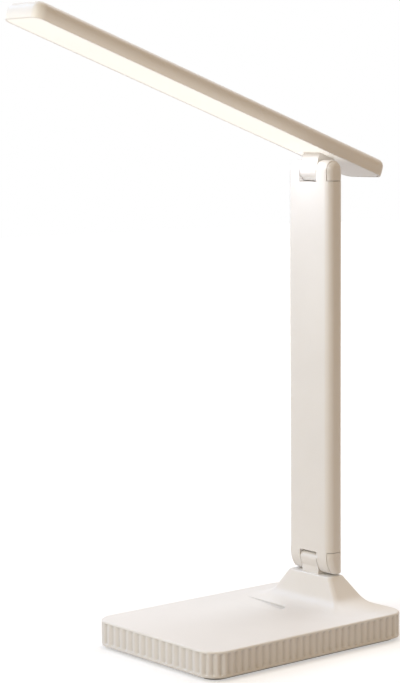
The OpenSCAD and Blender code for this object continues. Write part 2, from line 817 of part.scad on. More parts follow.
module head_block_screws() color(steel) in_head()
    for (p = head_boss) translate([p[0], p[1], 0])
        screw_up(2.2, 1.1, 1.15, block_flange_z[0] + 0.05, head_ceiling - 1.5);

module led_board() color([0.88, 0.88, 0.86]) in_head()
    span([led_board_x[0], -led_board_y, board_head_z[0]],
        [led_board_x[1], led_board_y, board_head_z[1]]);

// Runs its children at each light's place
module led_places() {
    pitch = (led_board_x[1] - led_board_x[0]) / leds_per_row;
    for (y = led_rows, i = [0:leds_per_row - 1])
        translate([led_board_x[0] + (i + 0.5) * pitch, y, 0]) children();
}

module leds() color([0.96, 0.86, 0.45]) in_head() led_places()
    translate([-led_size[0] / 2, -led_size[1] / 2, board_head_z[0] - led_size[2]]) cube(led_size);

module reflector() color(soft_white) in_head() difference() {
    span([led_board_x[0], -reflector_y, reflector_z[0]], [led_board_x[1], reflector_y, reflector_z[1]]);
    led_places() translate([-reflector_hole[0] / 2, -reflector_hole[1] / 2, reflector_z[0] - 1])
        cube([reflector_hole[0], reflector_hole[1], 3]);
}

module head_harness() color(copper_red) in_head()
    wire([[wire_x, 0, -4.6], [wire_x, 0, head_gap + 4], [wire_x + 0.6, 0, head_gap + 5.3],
          [wire_x + 2, 0, head_gap + 5.9], [led_board_x[0] - 0.3, 0, head_gap + 5.9]],
         wire_r, [0, 1, 0]);

base_cover();
base_plate();
base_weight();
rubber_foot_ring();
base_screws();
weight_screws();
stand_bolts();
battery();
battery_tape();
control_board();
board_parts();
board_screws();
charge_port();
touch_sensor();
base_harness();
lower_hinge_block();
lower_pin();
lower_nut();
lower_spring_washers();
arm_housing();
arm_back_cover();
arm_spine();
arm_screws();
arm_harness();
lower_cap_left();
lower_cap_right();
upper_cap_left();
upper_cap_right();
lower_bushes();
lower_friction_discs();
upper_bushes();
upper_friction_discs();
head_housing();
diffuser();
head_rear_cover();
upper_hinge_block();
upper_pin();
upper_nut();
upper_spring_washers();
head_block_screws();
led_board();
leds();
reflector();
head_harness();
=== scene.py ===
"""Looks of the folding LED desk lamp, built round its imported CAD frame.

Meshes are made in millimetres and brought to metres when they are placed. +X is forwards, +Y is
the lamp's left and +Z is up. The base is drawn in the lamp's own frame, whose origin is on the
table under the middle of the base. The arm is drawn with its origin on the lower hinge, and the
head with its origin on the upper hinge and its length along X.
"""

import math

import bmesh
import bpy
from mathutils import Matrix, Vector


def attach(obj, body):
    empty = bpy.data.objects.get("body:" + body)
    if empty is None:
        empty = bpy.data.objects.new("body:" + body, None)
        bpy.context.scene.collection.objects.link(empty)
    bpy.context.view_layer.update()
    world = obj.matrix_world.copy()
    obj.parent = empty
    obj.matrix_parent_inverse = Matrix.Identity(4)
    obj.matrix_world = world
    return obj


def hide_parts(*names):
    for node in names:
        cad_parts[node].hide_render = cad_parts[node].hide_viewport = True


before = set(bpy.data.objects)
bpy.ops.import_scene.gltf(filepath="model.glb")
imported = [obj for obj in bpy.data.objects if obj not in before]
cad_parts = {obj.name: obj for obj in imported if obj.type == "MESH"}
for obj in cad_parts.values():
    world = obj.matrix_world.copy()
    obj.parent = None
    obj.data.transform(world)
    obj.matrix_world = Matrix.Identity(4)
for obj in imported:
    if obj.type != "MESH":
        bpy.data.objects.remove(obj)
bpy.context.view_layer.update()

MM = 0.001

# ---------------- sizes, in mm as in the CAD

# Base cover: outer size, lower edge, wall, ceiling, and the rounding of its top and bottom edges
BASE_L, BASE_W, BASE_H, BASE_R = 161.0, 116.0, 18.0, 13.0
COVER_Z0, SIDE_T, CEILING = 2.0, 3.1, 15.6
BASE_EDGE, COVER_EDGE, COVER_EDGE_MID, COVER_CHAMFER = 1.2, 0.5, 0.15, 0.3
TOP_MARGIN = 5

# Ribs of its side: how many on each straight and corner, their depth, and (height, share of the
# depth) up the side
RIBS_LONG, RIBS_SHORT, RIBS_CORNER, RIB_DEPTH = 25, 14, 4, 0.9
RIB_BOWL, RIB_POINTS = 0.65, 10
RIB_HEIGHTS = ((3.2, 0), (3.4, 0.06), (3.7, 0.35), (4.0, 0.75), (4.4, 0.96), (4.8, 1), (9.5, 1),
               (15.3, 1), (15.8, 0.96), (16.2, 0.75), (16.45, 0.35), (16.65, 0.06), (16.75, 0))

# Arm, its hinges and its forks
ARM_L, ARM_W, ARM_T, ARM_R = 250.9, 39.0, 13.2, 4.8
HINGE_X, HINGE_Z = -55.0, 44.1
KNUCKLE = ARM_T / 2
TONGUE_W, FORK_GAP, SLOT_UP, SLOT_LOW = 15.0, 0.4, 7.0, 8.0
SLOT_HALF = TONGUE_W / 2 + FORK_GAP
EAR_FACE, CAP_LOW, CAP_SEAM, CAP_GAP, CAP_STEP = 16.7, 8.6, 0.3, 0.35, 0.1
BORE_R, CUP_R, WEB_FACE = 2.72, 4.1, 11.9

# Curved front of the arm's lower end, its rounded foot, and the least flat left on its side
CURVE_R, CURVE_Z, FOOT_Z, HEEL_R, SIDE_FLAT = 15.0, 5.3, 5.7, 1.5, 0.3
CURVE_ROWS, ARM_ROWS = 14, 12

# Tongues: the lower one's top, rounded corners and set-back at its foot, the part of it that is
# sunk in the neck, its stem, and the flange of the upper one
TONGUE_TOP, TONGUE_CORNER, TONGUE_SET, TONGUE_SINK = 6.7, 3.7, 1.9, 0.5
TONGUE_ROWS, TONGUE_TURN = 10, 10
STEM_X, STEM_Y, STEM_Z0, STEM_OVERLAP = 4.5, 7.3, 7.2, 1
FLANGE_X, FLANGE_Y, FLANGE_Z, FLANGE_OVERLAP = (-20, 8.4), 14, (1.7, 3.9), 1.75

# Neck: its height and its foot's height, the slope and the foot's reach of each face, its corners,
# and (inset, depth) of the rounding round its top
NECK_TOP = 37.3
NECK_H = NECK_TOP - BASE_H
NECK_FOOT = 7.3
NECK_FRONT, NECK_REAR, NECK_SIDE = (0.26, 9.0), (0.55, 5.9), (0.73, 14.0)
NECK_R, NECK_CORNER, NECK_MIN_R = 3.0, 8.0, 1.0
NECK_EDGE = 0.7
NECK_TOP_ROWS = ((3.0, 0), (0.7, 0.0), (0.35, 0.09), (0.1, 0.35))
NECK_ROWS, NECK_CORNER_STEPS, NECK_SIDE_STEPS = 26, 8, 5

# Finger scoop: place, size, the radii of its top edge and floor edge, and the depth at which
# these are full
SCOOP_X, SCOOP_Y0, SCOOP_Y1, SCOOP_R, SCOOP_DEPTH = -23.0, -40.0, 2.0, 8.0, 2.6
SCOOP_TOP_R, SCOOP_FLOOR_R, SCOOP_FULL = 0.5, 0.8, 1.4
SCOOP_SIDE_STEPS, SCOOP_END_STEPS, SCOOP_EDGE_STEPS = 10, 24, 4

# Charging inlet: (height, width, corner radius, inner end) of its recess and its opening, then
# (height, width, corner radius) of its shell, outside and inside
PORT_Y, PORT_Z = -30.0, 12.4
BEHIND_BASE = -90.0
PORT_CUTS = ((6.6, 12.4, 3.2, -BASE_L / 2 + 1.1), (3.9, 9.6, 1.9, -76.0))
SHELL_OUTSIDE, SHELL_INSIDE = (3.2, 8.9, 1.55), (2.6, 8.3, 1.25)
SHELL_SET, SHELL_L, SHELL_DEPTH, SHELL_EDGE, SHELL_LIP = 1.2, 7.3, 6.5, 0.15, 0.1
INLET_TONGUE_SET, INLET_TONGUE_Y, INLET_TONGUE_Z = 0.9, 3.3, 0.35

# Base plate and foot ring
PLATE_Z = (0.8, 2.8)
PLATE_INSET, FOOT_INSET, FOOT_W, FOOT_TOP = 3.2, 4.4, 4.0, 1.3
FOOT_EDGE, FOOT_EDGE_MID, GROOVE_GAP = 0.5, 0.15, 0.1

# Screws: head radius, head height, shaft radius, length and cross depth. Their holes: (radius,
# height) up the hole. The cross: shares of the head's radius, and its turn in degrees
PLATE_SCREWS = [(sx * 68.0, sy * 46.0) for sx in (-1, 1) for sy in (-1, 1)]
PLATE_SCREW = (2.7, 0.9, 1.4, 10, 0.5)
PLATE_HOLE = [(2.9, 0.2), (2.9, 1.8), (1.6, 1.8), (1.6, 4)]
BACK_SCREWS_Z = (30.0, ARM_L / 2, ARM_L - 30)
BACK_SCREW = (2.2, 0.75, 0.95, 8.2, 0.4)
BACK_HOLE = [(2.35, -1), (2.35, 0.85), (1.1, 0.85), (1.1, 3)]
SCREW_EDGE, SCREW_CONE, SCREW_SINK = 0.2, 0.3, 0.1
CROSS_REACH, CROSS_WIDTH, CROSS_TURN = 0.62, 0.13, 20

# Cover on the back of the arm, and its recess
BACK_W, BACK_Z, BACK_T = 28.4, (15.0, ARM_L - 15), 1.2
RECESS_R, COVER_R, COVER_PLAY, COVER_SINK = 1.6, 1.45, 0.3, 0.05

# Head: its reach before and behind the hinge, its section, (inset, height) up its lower rim, and
# where its straight side ends below its rounded edge
HEAD_FRONT, HEAD_REAR, HEAD_W, HEAD_T = 241.5, 43.5, 35.0, 10.6
HEAD_GAP, HEAD_R, HEAD_EDGE, HEAD_TILT = 9.5, 6.5, 4.7, 19.3
HEAD_WALL, HEAD_WALL_Z = 1.6, 0.2
HEAD_RIM = ((1.4, 0), (0.55, 0), (0.3, 0.1), (0.2, 0.35), (0.1, 1.5), (0.0, 3.5))
HEAD_SIDE_END = 0.4
HEAD_SIDE_STEPS = (1, 24)
BOX_MARGIN = 0.01  # keeps the head shell inside the CAD box

# Sheets under the head: the diffuser and the plain cover behind it. SHEET_EDGE_MID is a share of
# SHEET_EDGE
LENS_X0, LENS_Z, REAR_Z, SHEET_GAP = 9.0, (0.1, 1.8), (0.05, 1.5), 0.35
SHEET_INSET, SHEET_EDGE, SHEET_EDGE_MID = 1.85, 0.25, 0.3
TONGUE_ROOM, TONGUE_HOLE_Z, CLIP_Z0 = 0.2, 30, -5

# How far cutting blocks reach past the thin sides, the wide sides and the ends of what they cut
PAST, PAST_WIDE, PAST_LONG = 20, 40, 400

BASE_PLACE = Matrix.Identity(4)
ARM_PLACE = Matrix.Translation((HINGE_X, 0, HINGE_Z))
HEAD_PLACE = (Matrix.Translation((HINGE_X, 0, HINGE_Z + ARM_L))
              @ Matrix.Rotation(math.radians(-HEAD_TILT), 4, "Y"))
Z_TO_X = Matrix.Rotation(math.radians(90), 4, "Y")
Z_TO_Y = Matrix.Rotation(math.radians(90), 4, "X")

# ---------------- looks, light and camera

GLOW = (1.0, 0.955, 0.87)
WHITE = (0.80, 0.785, 0.765)
WHITE_GLOSS = (0.40, 0.50)
PANEL_GLOW = 0.74
PANEL_COLOUR = (0.35, 0.34, 0.32)

# Usual range of a noise value, and the scales of the noises: mottling and grain of plastic,
# cloudiness and frosting of the diffuser, and drawn lines of metal
NOISE_RANGE = (0.3, 0.7)
NOISE_ROUGHNESS = 0.55
MOTTLE_SCALE, GRAIN_SCALE = 22, 2600
CLOUD_SCALE, FROST_SCALE = 18, 3500
LINE_SCALE = 6
LARGE_DETAIL, FINE_DETAIL = 4, 2
GRAIN_HEIGHT = 0.0001  # metres
METAL_SHADES = (0.88, 1.08)
CLOUD_SHADES = (0.985, 1)

# Painted shade in grooves: reach in metres, openness that counts as closed, and the colour's share
# there
GROOVE_REACH, GROOVE_OPEN, GROOVE_SHADE, GROOVE_SAMPLES = 0.003, 0.7, 0.72, 8

# Glow painted into the head's plastic beside the panel: faded over this height, in mm from the
# hinge
PAINTED_GLOW_Z = (HEAD_GAP + 8, HEAD_GAP)

FILL_COLOUR, FILL_STRENGTH = (1.0, 0.70, 0.40), 0.48

# Floor: half its side and the distances over which it turns white, in metres
FLOOR_HALF, FLOOR_GREY = 4, 0.6
FLOOR_FADE, FLOOR_GLOW = (0.12, 0.5), (0.48, 1.0)

# Name, place and target in metres, diameter in metres, power in watts and colour
LAMPS = (
    ("key", (1.35, 0.0, 0.9), (0, 0, 0.15), 0.6, 8.0, (0.935, 1.0, 0.965)),
    ("side", (0.5, -1.0, 1.2), (0, 0, 0.1), 0.8, 9.2, (0.47, 0.67, 1.0)),
    ("rear", (-0.9, -0.3, 1.5), (0, 0, 0.2), 1.0, 10.0, (0.80, 0.89, 1.0)),
)
PANEL_SIZE, PANEL_POWER, PANEL_LIGHT = (0.22, 0.028), 0.12, (0.88, 0.91, 1.0)
PANEL_SPOT = (125, 0, 8.5)  # in the head's frame, in mm

# Camera fitted to the photograph: place in mm, turns in degrees, lens from pixels
CAMERA_SPOT = (812.53, 936.89, 322.89)
CAMERA_YAW, CAMERA_PITCH, CAMERA_ROLL = 50.5, -6.09, -0.41
FOCAL_PIXELS, PHOTO_HEIGHT, SENSOR = 2013.55, 683, 36
CLIP_RANGE = (0.05, 30)


# ---------------- mesh helpers

# Distances in mm within which points are merged, and angles in degrees
MERGE, FLAT_MERGE, SLIVER = 1e-4, 1e-3, 0.02
FLAT_ANGLE, BEVEL_ANGLE = 0.3, 32
NORMAL_WEIGHT = 60

# Width in mm and steps of the edge rounding of each kind of piece
SHELL_BEVEL, COVER_BEVEL, REAR_BEVEL = (0.25, 3), (0.22, 2), (0.15, 2)
TONGUE_BEVEL, PLATE_BEVEL, INLET_BEVEL = (0.3, 3), (0.2, 2), (0.12, 2)

# Steps of a full turn, of the arc over a hinge, of a corner and of a rounded edge
TURN_STEPS, ARC_STEPS = 32, 28
BASE_CORNER, PORT_CORNER, PANEL_CORNER, HEAD_CORNER = 10, 8, 5, 14
BASE_EDGE_STEPS, HEAD_EDGE_STEPS = 8, 10


def new_object(name, verts, faces):
    """Mesh object in the scene."""
    mesh = bpy.data.meshes.new(name)
    mesh.from_pydata([tuple(v) for v in verts], [], faces)
    obj = bpy.data.objects.new(name, mesh)
    bpy.context.scene.collection.objects.link(obj)
    return obj


def tidy(obj, merge=MERGE):
    """Merges doubled points and makes every face point outwards."""
    bm = bmesh.new()
    bm.from_mesh(obj.data)
    bmesh.ops.remove_doubles(bm, verts=bm.verts, dist=merge)
    bmesh.ops.dissolve_degenerate(bm, edges=bm.edges, dist=merge)
    bmesh.ops.recalc_face_normals(bm, faces=bm.faces)
    bm.to_mesh(obj.data)
    bm.free()
    return obj


def bake(obj):
    """Applies the object's modifiers to its mesh."""
    graph = bpy.context.evaluated_depsgraph_get()
    mesh = bpy.data.meshes.new_from_object(obj.evaluated_get(graph))
    obj.modifiers.clear()
    old = obj.data
    obj.data = mesh
    bpy.data.meshes.remove(old)
    return obj


def combine(obj, other, operation):
    """Boolean of obj with other, which is used up."""
    bpy.context.view_layer.update()
    mod = obj.modifiers.new("combine", "BOOLEAN")
    mod.operation = operation
    mod.solver = "EXACT"
    mod.object = other
    bake(obj)
    bpy.data.objects.remove(other)
    return obj


def cut(obj, *cutters):
    """Takes each cutter away from obj."""
    for cutter in cutters:
        combine(obj, cutter, "DIFFERENCE")
    return obj


def flatten_faces(obj):
    """Joins neighbouring faces that lie in one plane."""
    bm = bmesh.new()
    bm.from_mesh(obj.data)
    bmesh.ops.remove_doubles(bm, verts=bm.verts, dist=FLAT_MERGE)
    bmesh.ops.dissolve_limit(bm, angle_limit=math.radians(FLAT_ANGLE),
                             verts=bm.verts, edges=bm.edges)
    bm.to_mesh(obj.data)
    bm.free()
    return obj


def soften(obj, width, steps):
    """Rounds the object's sharp edges."""
    mod = obj.modifiers.new("soften", "BEVEL")
    mod.width = width
    mod.segments = steps
    mod.limit_method = "ANGLE"
    mod.angle_limit = math.radians(BEVEL_ANGLE)
    mod.miter_outer = "MITER_ARC"
    mod.use_clamp_overlap = True
    return bake(obj)


def shade(obj, sharp):
    """Smooth shading, with flat faces kept flat and edges over the sharp angle kept sharp."""
    mesh = obj.data
    mesh.polygons.foreach_set("use_smooth", [True] * len(mesh.polygons))
    mesh.set_sharp_from_angle(angle=math.radians(sharp))
    mod = obj.modifiers.new("normals", "WEIGHTED_NORMAL")
    mod.keep_sharp = True
    mod.weight = NORMAL_WEIGHT
    return bake(obj)


def place(obj, body, material, nodes=(), matrix=BASE_PLACE, sharp=50):
    """Shades the piece, brings it to metres in the lamp's frame and puts it on its body."""
    shade(obj, sharp)
    obj.data.transform(Matrix.Diagonal((MM, MM, MM, 1)) @ matrix)
    obj.data.materials.clear()
    obj.data.materials.append(material)
    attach(obj, body)
    if nodes:
        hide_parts(*nodes)
    return obj


def move(obj, matrix):
    """Moves the object's mesh, not the object."""
    obj.data.transform(matrix)
    return obj


def join(name, objects):
    """One object from several, which are used up."""
    bm = bmesh.new()
    for obj in objects:
        bm.from_mesh(obj.data)
        bpy.data.objects.remove(obj)
    mesh = bpy.data.meshes.new(name)
    bm.to_mesh(mesh)
    bm.free()
    out = bpy.data.objects.new(name, mesh)
    bpy.context.scene.collection.objects.link(out)
    return out


def circle_point(x, y, radius, degrees):
    """Point of a circle about (x, y)."""
    a = math.radians(degrees)
    return x + radius * math.cos(a), y + radius * math.sin(a)


def rings_to_faces(count, size, closed_rows=False):
    """Quads between neighbouring rings of size points each."""
    faces = []
    for i in range(count if closed_rows else count - 1):
        a, b = i * size, (i + 1) % count * size
        faces += [(a + k, a + (k + 1) % size, b + (k + 1) % size, b + k) for k in range(size)]
    return faces


def loft(name, rings):
    """Solid through rings of points, closed at its first and last rings."""
    size = len(rings[0])
    faces = rings_to_faces(len(rings), size)
    faces.append(tuple(range(size - 1, -1, -1)))
    faces.append(tuple((len(rings) - 1) * size + k for k in range(size)))
    return new_object(name, [p for row in rings for p in row], faces)


def closed_loop(name, rings):
    """Solid like a picture frame, through rings of points that come back to the first one."""
    return new_object(name, [p for row in rings for p in row],
                      rings_to_faces(len(rings), len(rings[0]), closed_rows=True))


def swept(name, rows):
    """Solid under open rows of points, closed by one face between its first and last rows."""
    size = len(rows[0])
    faces = [(i * size + k, i * size + k + 1, (i + 1) * size + k + 1, (i + 1) * size + k)
             for i in range(len(rows) - 1) for k in range(size - 1)]
    last = (len(rows) - 1) * size
    faces.append(tuple(range(size)) + tuple(last + k for k in range(size - 2, 0, -1)))
    return tidy(new_object(name, [p for row in rows for p in row], faces))


def box(name, lo, hi):
    """Block between its lowest and highest corners."""
    x, y = (lo[0], hi[0]), (lo[1], hi[1])
    corners = [(x[0], y[0]), (x[1], y[0]), (x[1], y[1]), (x[0], y[1])]
    return loft(name, [[(a, b, z) for a, b in corners] for z in (lo[2], hi[2])])


def turned(name, profile):
    """Solid of revolution about Z from (radius, z) pairs."""
    turns = [math.tau * k / TURN_STEPS for k in range(TURN_STEPS)]
    return loft(name, [[(r * math.cos(a), r * math.sin(a), z) for a in turns]
                       for r, z in profile])


def outline(length, width, radius, corner, side=(1, 1)):
    """Points (x, y, nx, ny) round a rounded rectangle, anticlockwise."""
    hx, hy = length / 2, width / 2
    out = []
    corners = [(1, -1, -90), (1, 1, 0), (-1, 1, 90), (-1, -1, 180)]
    for i, (sx, sy, start) in enumerate(corners):
        cx, cy = sx * (hx - radius), sy * (hy - radius)
        for k in range(corner + 1):
            a = math.radians(start + 90 * k / corner)
            nx, ny = math.cos(a), math.sin(a)
            out.append((cx + radius * nx, cy + radius * ny, nx, ny))
        nx, ny = math.cos(math.radians(start + 90)), math.sin(math.radians(start + 90))
        count = side[i % 2]
        ex, ey = cx + radius * nx, cy + radius * ny
        sx2, sy2 = corners[(i + 1) % 4][:2]
        fx, fy = sx2 * (hx - radius) + radius * nx, sy2 * (hy - radius) + radius * ny
        for k in range(1, count):
            t = k / count
            out.append((ex + (fx - ex) * t, ey + (fy - ey) * t, nx, ny))
    return out


def ring(points, inset, z, shift=0):
    """The points of an outline at height z, set inwards and shifted along X."""
    return [(x - inset * nx + shift, y - inset * ny, z) for x, y, nx, ny in points]


def fillet(steps, radius, z):
    """(inset, z) pairs of a rounded top edge that starts at height z."""
    turns = [math.radians(90 * k / steps) for k in range(steps + 1)]
    return [(radius * (1 - math.cos(a)), z + radius * math.sin(a)) for a in turns]


# ---------------- materials

def node_material(name):
    """New material, with its nodes, its links and its shader."""
    material = bpy.data.materials.new(name)
    material.use_nodes = True
    nodes = material.node_tree.nodes
    return material, nodes, material.node_tree.links, nodes["Principled BSDF"]


def noise(nodes, links, coords, scale, detail):
    """Noise texture fixed to the object."""
    node = nodes.new("ShaderNodeTexNoise")
    node.inputs["Scale"].default_value = scale
    node.inputs["Detail"].default_value = detail
    node.inputs["Roughness"].default_value = NOISE_ROUGHNESS
    links.new(coords.outputs["Object"], node.inputs["Vector"])
    return node


def map_range(nodes, links, source, before, after=(0.0, 1.0)):
    """Maps a value's range before to the range after."""
    node = nodes.new("ShaderNodeMapRange")
    names = ("From Min", "From Max", "To Min", "To Max")
    for name, value in zip(names, (*before, *after)):
        node.inputs[name].default_value = value
    links.new(source, node.inputs["Value"])
    return node


def maths(nodes, links, operation, first, second):
    """Result of a Math node on a socket and another socket or a number."""
    node = nodes.new("ShaderNodeMath")
    node.operation = operation
    links.new(first, node.inputs[0])
    if isinstance(second, float):
        node.inputs[1].default_value = second
    else:
        links.new(second, node.inputs[1])
    return node.outputs[0]


def tint(nodes, links, source, colour, shares, socket):
    """Varies a colour with a noise, between two shares of it."""
    node = nodes.new("ShaderNodeValToRGB")
    for element, position, share in zip(node.color_ramp.elements, NOISE_RANGE, shares):
        element.position = position
        element.color = (*(c * share for c in colour), 1)
    links.new(source, node.inputs["Fac"])
    links.new(node.outputs["Color"], socket)


def uneven_gloss(nodes, links, source, rough, shader):
    """Varies the roughness with a noise."""
    level = map_range(nodes, links, source, NOISE_RANGE, rough)
    links.new(level.outputs["Result"], shader.inputs["Roughness"])


def fine_grain(nodes, links, source, strength, shader):
    """Bumps the surface with a noise."""
    bump = nodes.new("ShaderNodeBump")
    bump.inputs["Strength"].default_value = strength
    bump.inputs["Distance"].default_value = GRAIN_HEIGHT
    links.new(source, bump.inputs["Height"])
    links.new(bump.outputs["Normal"], shader.inputs["Normal"])


def moulded(name, colour, rough=(0.42, 0.52), grain=0.05, mottle=0.02,
            grain_scale=GRAIN_SCALE, specular=0.5):
    """Moulded or cast surface: faint mottling, uneven gloss and a fine grain."""
    material, nodes, links, shader = node_material(name)
    coords = nodes.new("ShaderNodeTexCoord")
    large = noise(nodes, links, coords, MOTTLE_SCALE, LARGE_DETAIL).outputs["Fac"]
    fine = noise(nodes, links, coords, grain_scale, FINE_DETAIL).outputs["Fac"]
    tint(nodes, links, large, colour, (1 - mottle, 1 + mottle), shader.inputs["Base Color"])
    uneven_gloss(nodes, links, large, rough, shader)
    fine_grain(nodes, links, fine, grain, shader)
    shader.inputs["Specular IOR Level"].default_value = specular
    return material


def painted_groove_shade(material):
    """Paints shade into the plastic's colour in its grooves and inner corners, where little light
    gets to.
    """
    nodes, links = material.node_tree.nodes, material.node_tree.links
    colour = nodes["Principled BSDF"].inputs["Base Color"]
    openness = nodes.new("ShaderNodeAmbientOcclusion")
    openness.samples = GROOVE_SAMPLES
    openness.only_local = True
    openness.inputs["Distance"].default_value = GROOVE_REACH
    level = map_range(nodes, links, openness.outputs["AO"],
                      (GROOVE_OPEN, 1.0), (GROOVE_SHADE, 1.0))
    scaled = nodes.new("ShaderNodeVectorMath")
    scaled.operation = "SCALE"
    links.new(colour.links[0].from_socket, scaled.inputs[0])
    links.new(level.outputs["Result"], scaled.inputs["Scale"])
    links.new(scaled.outputs["Vector"], colour)
    return material


def brushed(name, colour, rough=(0.25, 0.4), stretch=(60, 900, 900)):
    """Metal with fine drawn lines along one direction."""
    material, nodes, links, shader = node_material(name)
    coords = nodes.new("ShaderNodeTexCoord")
    mapping = nodes.new("ShaderNodeMapping")
    mapping.inputs["Scale"].default_value = stretch
    links.new(coords.outputs["Object"], mapping.inputs["Vector"])
    lines = nodes.new("ShaderNodeTexNoise")
    lines.inputs["Scale"].default_value = LINE_SCALE
    lines.inputs["Detail"].default_value = LARGE_DETAIL
    links.new(mapping.outputs["Vector"], lines.inputs["Vector"])
    tint(nodes, links, lines.outputs["Fac"], colour, METAL_SHADES, shader.inputs["Base Color"])
    uneven_gloss(nodes, links, lines.outputs["Fac"], rough, shader)
    shader.inputs["Metallic"].default_value = 1.0
    return material


def head_step(nodes, links, axis, low, high):
    """Smooth step between two places along one axis of the head, in mm from its hinge."""
    across = HEAD_PLACE.to_3x3().col[axis]
    start = HEAD_PLACE.translation.dot(across)
    coords = nodes.new("ShaderNodeTexCoord")
    along = nodes.new("ShaderNodeVectorMath")
    along.operation = "DOT_PRODUCT"
    along.inputs[1].default_value = across
    links.new(coords.outputs["Object"], along.inputs[0])
    step = map_range(nodes, links, along.outputs["Value"],
                     ((start + low) * MM, (start + high) * MM))
    step.interpolation_type = "SMOOTHSTEP"
    return step.outputs["Result"]


def paint_glow(material, x_range, strength):
    """Paints a glow into plastic beside the panel, where the panel's light falls and shows
    through, fading upwards and along X.
    """
    nodes, links = material.node_tree.nodes, material.node_tree.links
    shader = nodes["Principled BSDF"]
    both = maths(nodes, links, "MULTIPLY", head_step(nodes, links, 2, *PAINTED_GLOW_Z),
                 head_step(nodes, links, 0, *x_range))
    scaled = maths(nodes, links, "MULTIPLY", both, strength)
    links.new(scaled, shader.inputs["Emission Strength"])
    shader.inputs["Emission Color"].default_value = (*GLOW, 1)
    return material


def diffuser_material():
    """Frosted, lit sheet: even light with the faintest cloudiness, and a fine frosting."""
    material, nodes, links, shader = node_material("diffuser_sheet")
    coords = nodes.new("ShaderNodeTexCoord")
    cloud = noise(nodes, links, coords, CLOUD_SCALE, FINE_DETAIL).outputs["Fac"]
    frost = noise(nodes, links, coords, FROST_SCALE, FINE_DETAIL).outputs["Fac"]
    tint(nodes, links, cloud, GLOW, CLOUD_SHADES, shader.inputs["Emission Color"])
    shader.inputs["Emission Strength"].default_value = PANEL_GLOW
    shader.inputs["Base Color"].default_value = (*PANEL_COLOUR, 1)
    uneven_gloss(nodes, links, cloud, (0.55, 0.65), shader)
    fine_grain(nodes, links, frost, 0.1, shader)
    return material


white = moulded("housing_plastic", WHITE, WHITE_GLOSS)
# The base's plastic has shade painted into its grooves
base_white_shaded = painted_groove_shade(moulded("base_plastic_painted_shade", WHITE, WHITE_GLOSS))
# The head's shell and its rear cover have a glow painted in beside the panel
head_white_glow = paint_glow(moulded("head_plastic_painted_glow", WHITE, WHITE_GLOSS, grain=0.03), (-5, 60), 0.17)
rear_white_glow = paint_glow(moulded("rear_cover_plastic_painted_glow", WHITE, WHITE_GLOSS), (-16, 8), 0.45)
lens_sheet = diffuser_material()
plate_grey = moulded("plate_plastic", (0.66, 0.645, 0.62), (0.5, 0.6), grain=0.12)
rubber = moulded("foot_rubber", (0.35, 0.34, 0.33), (0.75, 0.9), grain=0.25, grain_scale=900,
                 specular=0.25)
dark = moulded("dark_plastic", (0.045, 0.045, 0.048), (0.45, 0.6), grain=0.1)
bush = moulded("bush_plastic", (0.55, 0.42, 0.2), (0.4, 0.5))
steel = brushed("plated_steel", (0.60, 0.61, 0.63))
screw_steel = brushed("screw_steel", (0.50, 0.51, 0.53), stretch=(300, 300, 60))
aluminium = brushed("led_aluminium", (0.80, 0.80, 0.79), (0.35, 0.5))
board_green = moulded("circuit_board", (0.03, 0.16, 0.07), (0.25, 0.4), grain=0.1, mottle=0.15)
chip = moulded("chip_black", (0.02, 0.02, 0.022), (0.4, 0.55), grain=0.2)
wrap = moulded("battery_wrap", (0.07, 0.15, 0.33), (0.3, 0.42), mottle=0.06)
foam = moulded("foam_tape", (0.65, 0.65, 0.6), (0.85, 0.95), grain=0.5, grain_scale=500)
copper = brushed("copper_foil", (0.72, 0.38, 0.2), (0.3, 0.45))
jacket = moulded("wire_jacket", (0.42, 0.02, 0.015), (0.35, 0.5))
film = moulded("reflector_film", (0.9, 0.89, 0.87), (0.55, 0.65))
phosphor = moulded("led_phosphor", (0.9, 0.72, 0.2), (0.4, 0.6), mottle=0.05)

# The CAD nodes that keep their own shape, by material
KEPT_NODES = (
    (steel, ("base_weight", "lower_pin", "arm_spine", "upper_pin")),
    (screw_steel, ("weight_screws", "stand_bolts", "board_screws", "lower_nut",
                   "lower_spring_washers", "upper_nut", "upper_spring_washers",
                   "head_block_screws")),
    (wrap, ("battery",)),
    (foam, ("battery_tape",)),
    (board_green, ("control_board",)),
    (chip, ("board_parts",)),
    (copper, ("touch_sensor",)),
    (jacket, ("base_harness", "arm_harness", "head_harness")),
    (bush, ("lower_bushes", "upper_bushes")),
    (dark, ("lower_friction_discs", "upper_friction_discs")),
    (aluminium, ("led_board",)),
    (phosphor, ("leds",)),
    (film, ("reflector",)),
)
for node_look, node_names in KEPT_NODES:
    for node_name in node_names:
        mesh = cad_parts[node_name].data
        mesh.materials.clear()
        mesh.materials.append(node_look)


# ---------------- base

def rib_drop(t):
    """Share of the rib's depth at t from -0.5 to 0.5 across it: part bowl, part wave."""
    return RIB_BOWL * (2 * t) ** 2 + (1 - RIB_BOWL) * math.sin(math.pi * t) ** 2


def ribbed_outline():
    """Points (x, y, nx, ny, drop) round the base, with RIB_POINTS of them to each rib."""
    hx, hy, r = BASE_L / 2, BASE_W / 2, BASE_R
    out = []
    for i in range(4):
        turn = math.radians(90 * i)
        ux, uy = math.cos(turn), math.sin(turn)
        reach, half = (hx, hy - r) if i % 2 == 0 else (hy, hx - r)
        ribs = RIBS_SHORT if i % 2 == 0 else RIBS_LONG
        for k in range(ribs * RIB_POINTS):
            along = -half + 2 * half * k / (ribs * RIB_POINTS)
            out.append((ux * reach - uy * along, uy * reach + ux * along, ux, uy,
                        rib_drop(k % RIB_POINTS / RIB_POINTS - 0.5)))
        cx, cy = ux * (reach - r) - uy * half, uy * (reach - r) + ux * half
        for k in range(RIBS_CORNER * RIB_POINTS):
            a = turn + math.pi / 2 * k / (RIBS_CORNER * RIB_POINTS)
            nx, ny = math.cos(a), math.sin(a)
            out.append((cx + r * nx, cy + r * ny, nx, ny,
                        rib_drop(k % RIB_POINTS / RIB_POINTS - 0.5)))
    return out


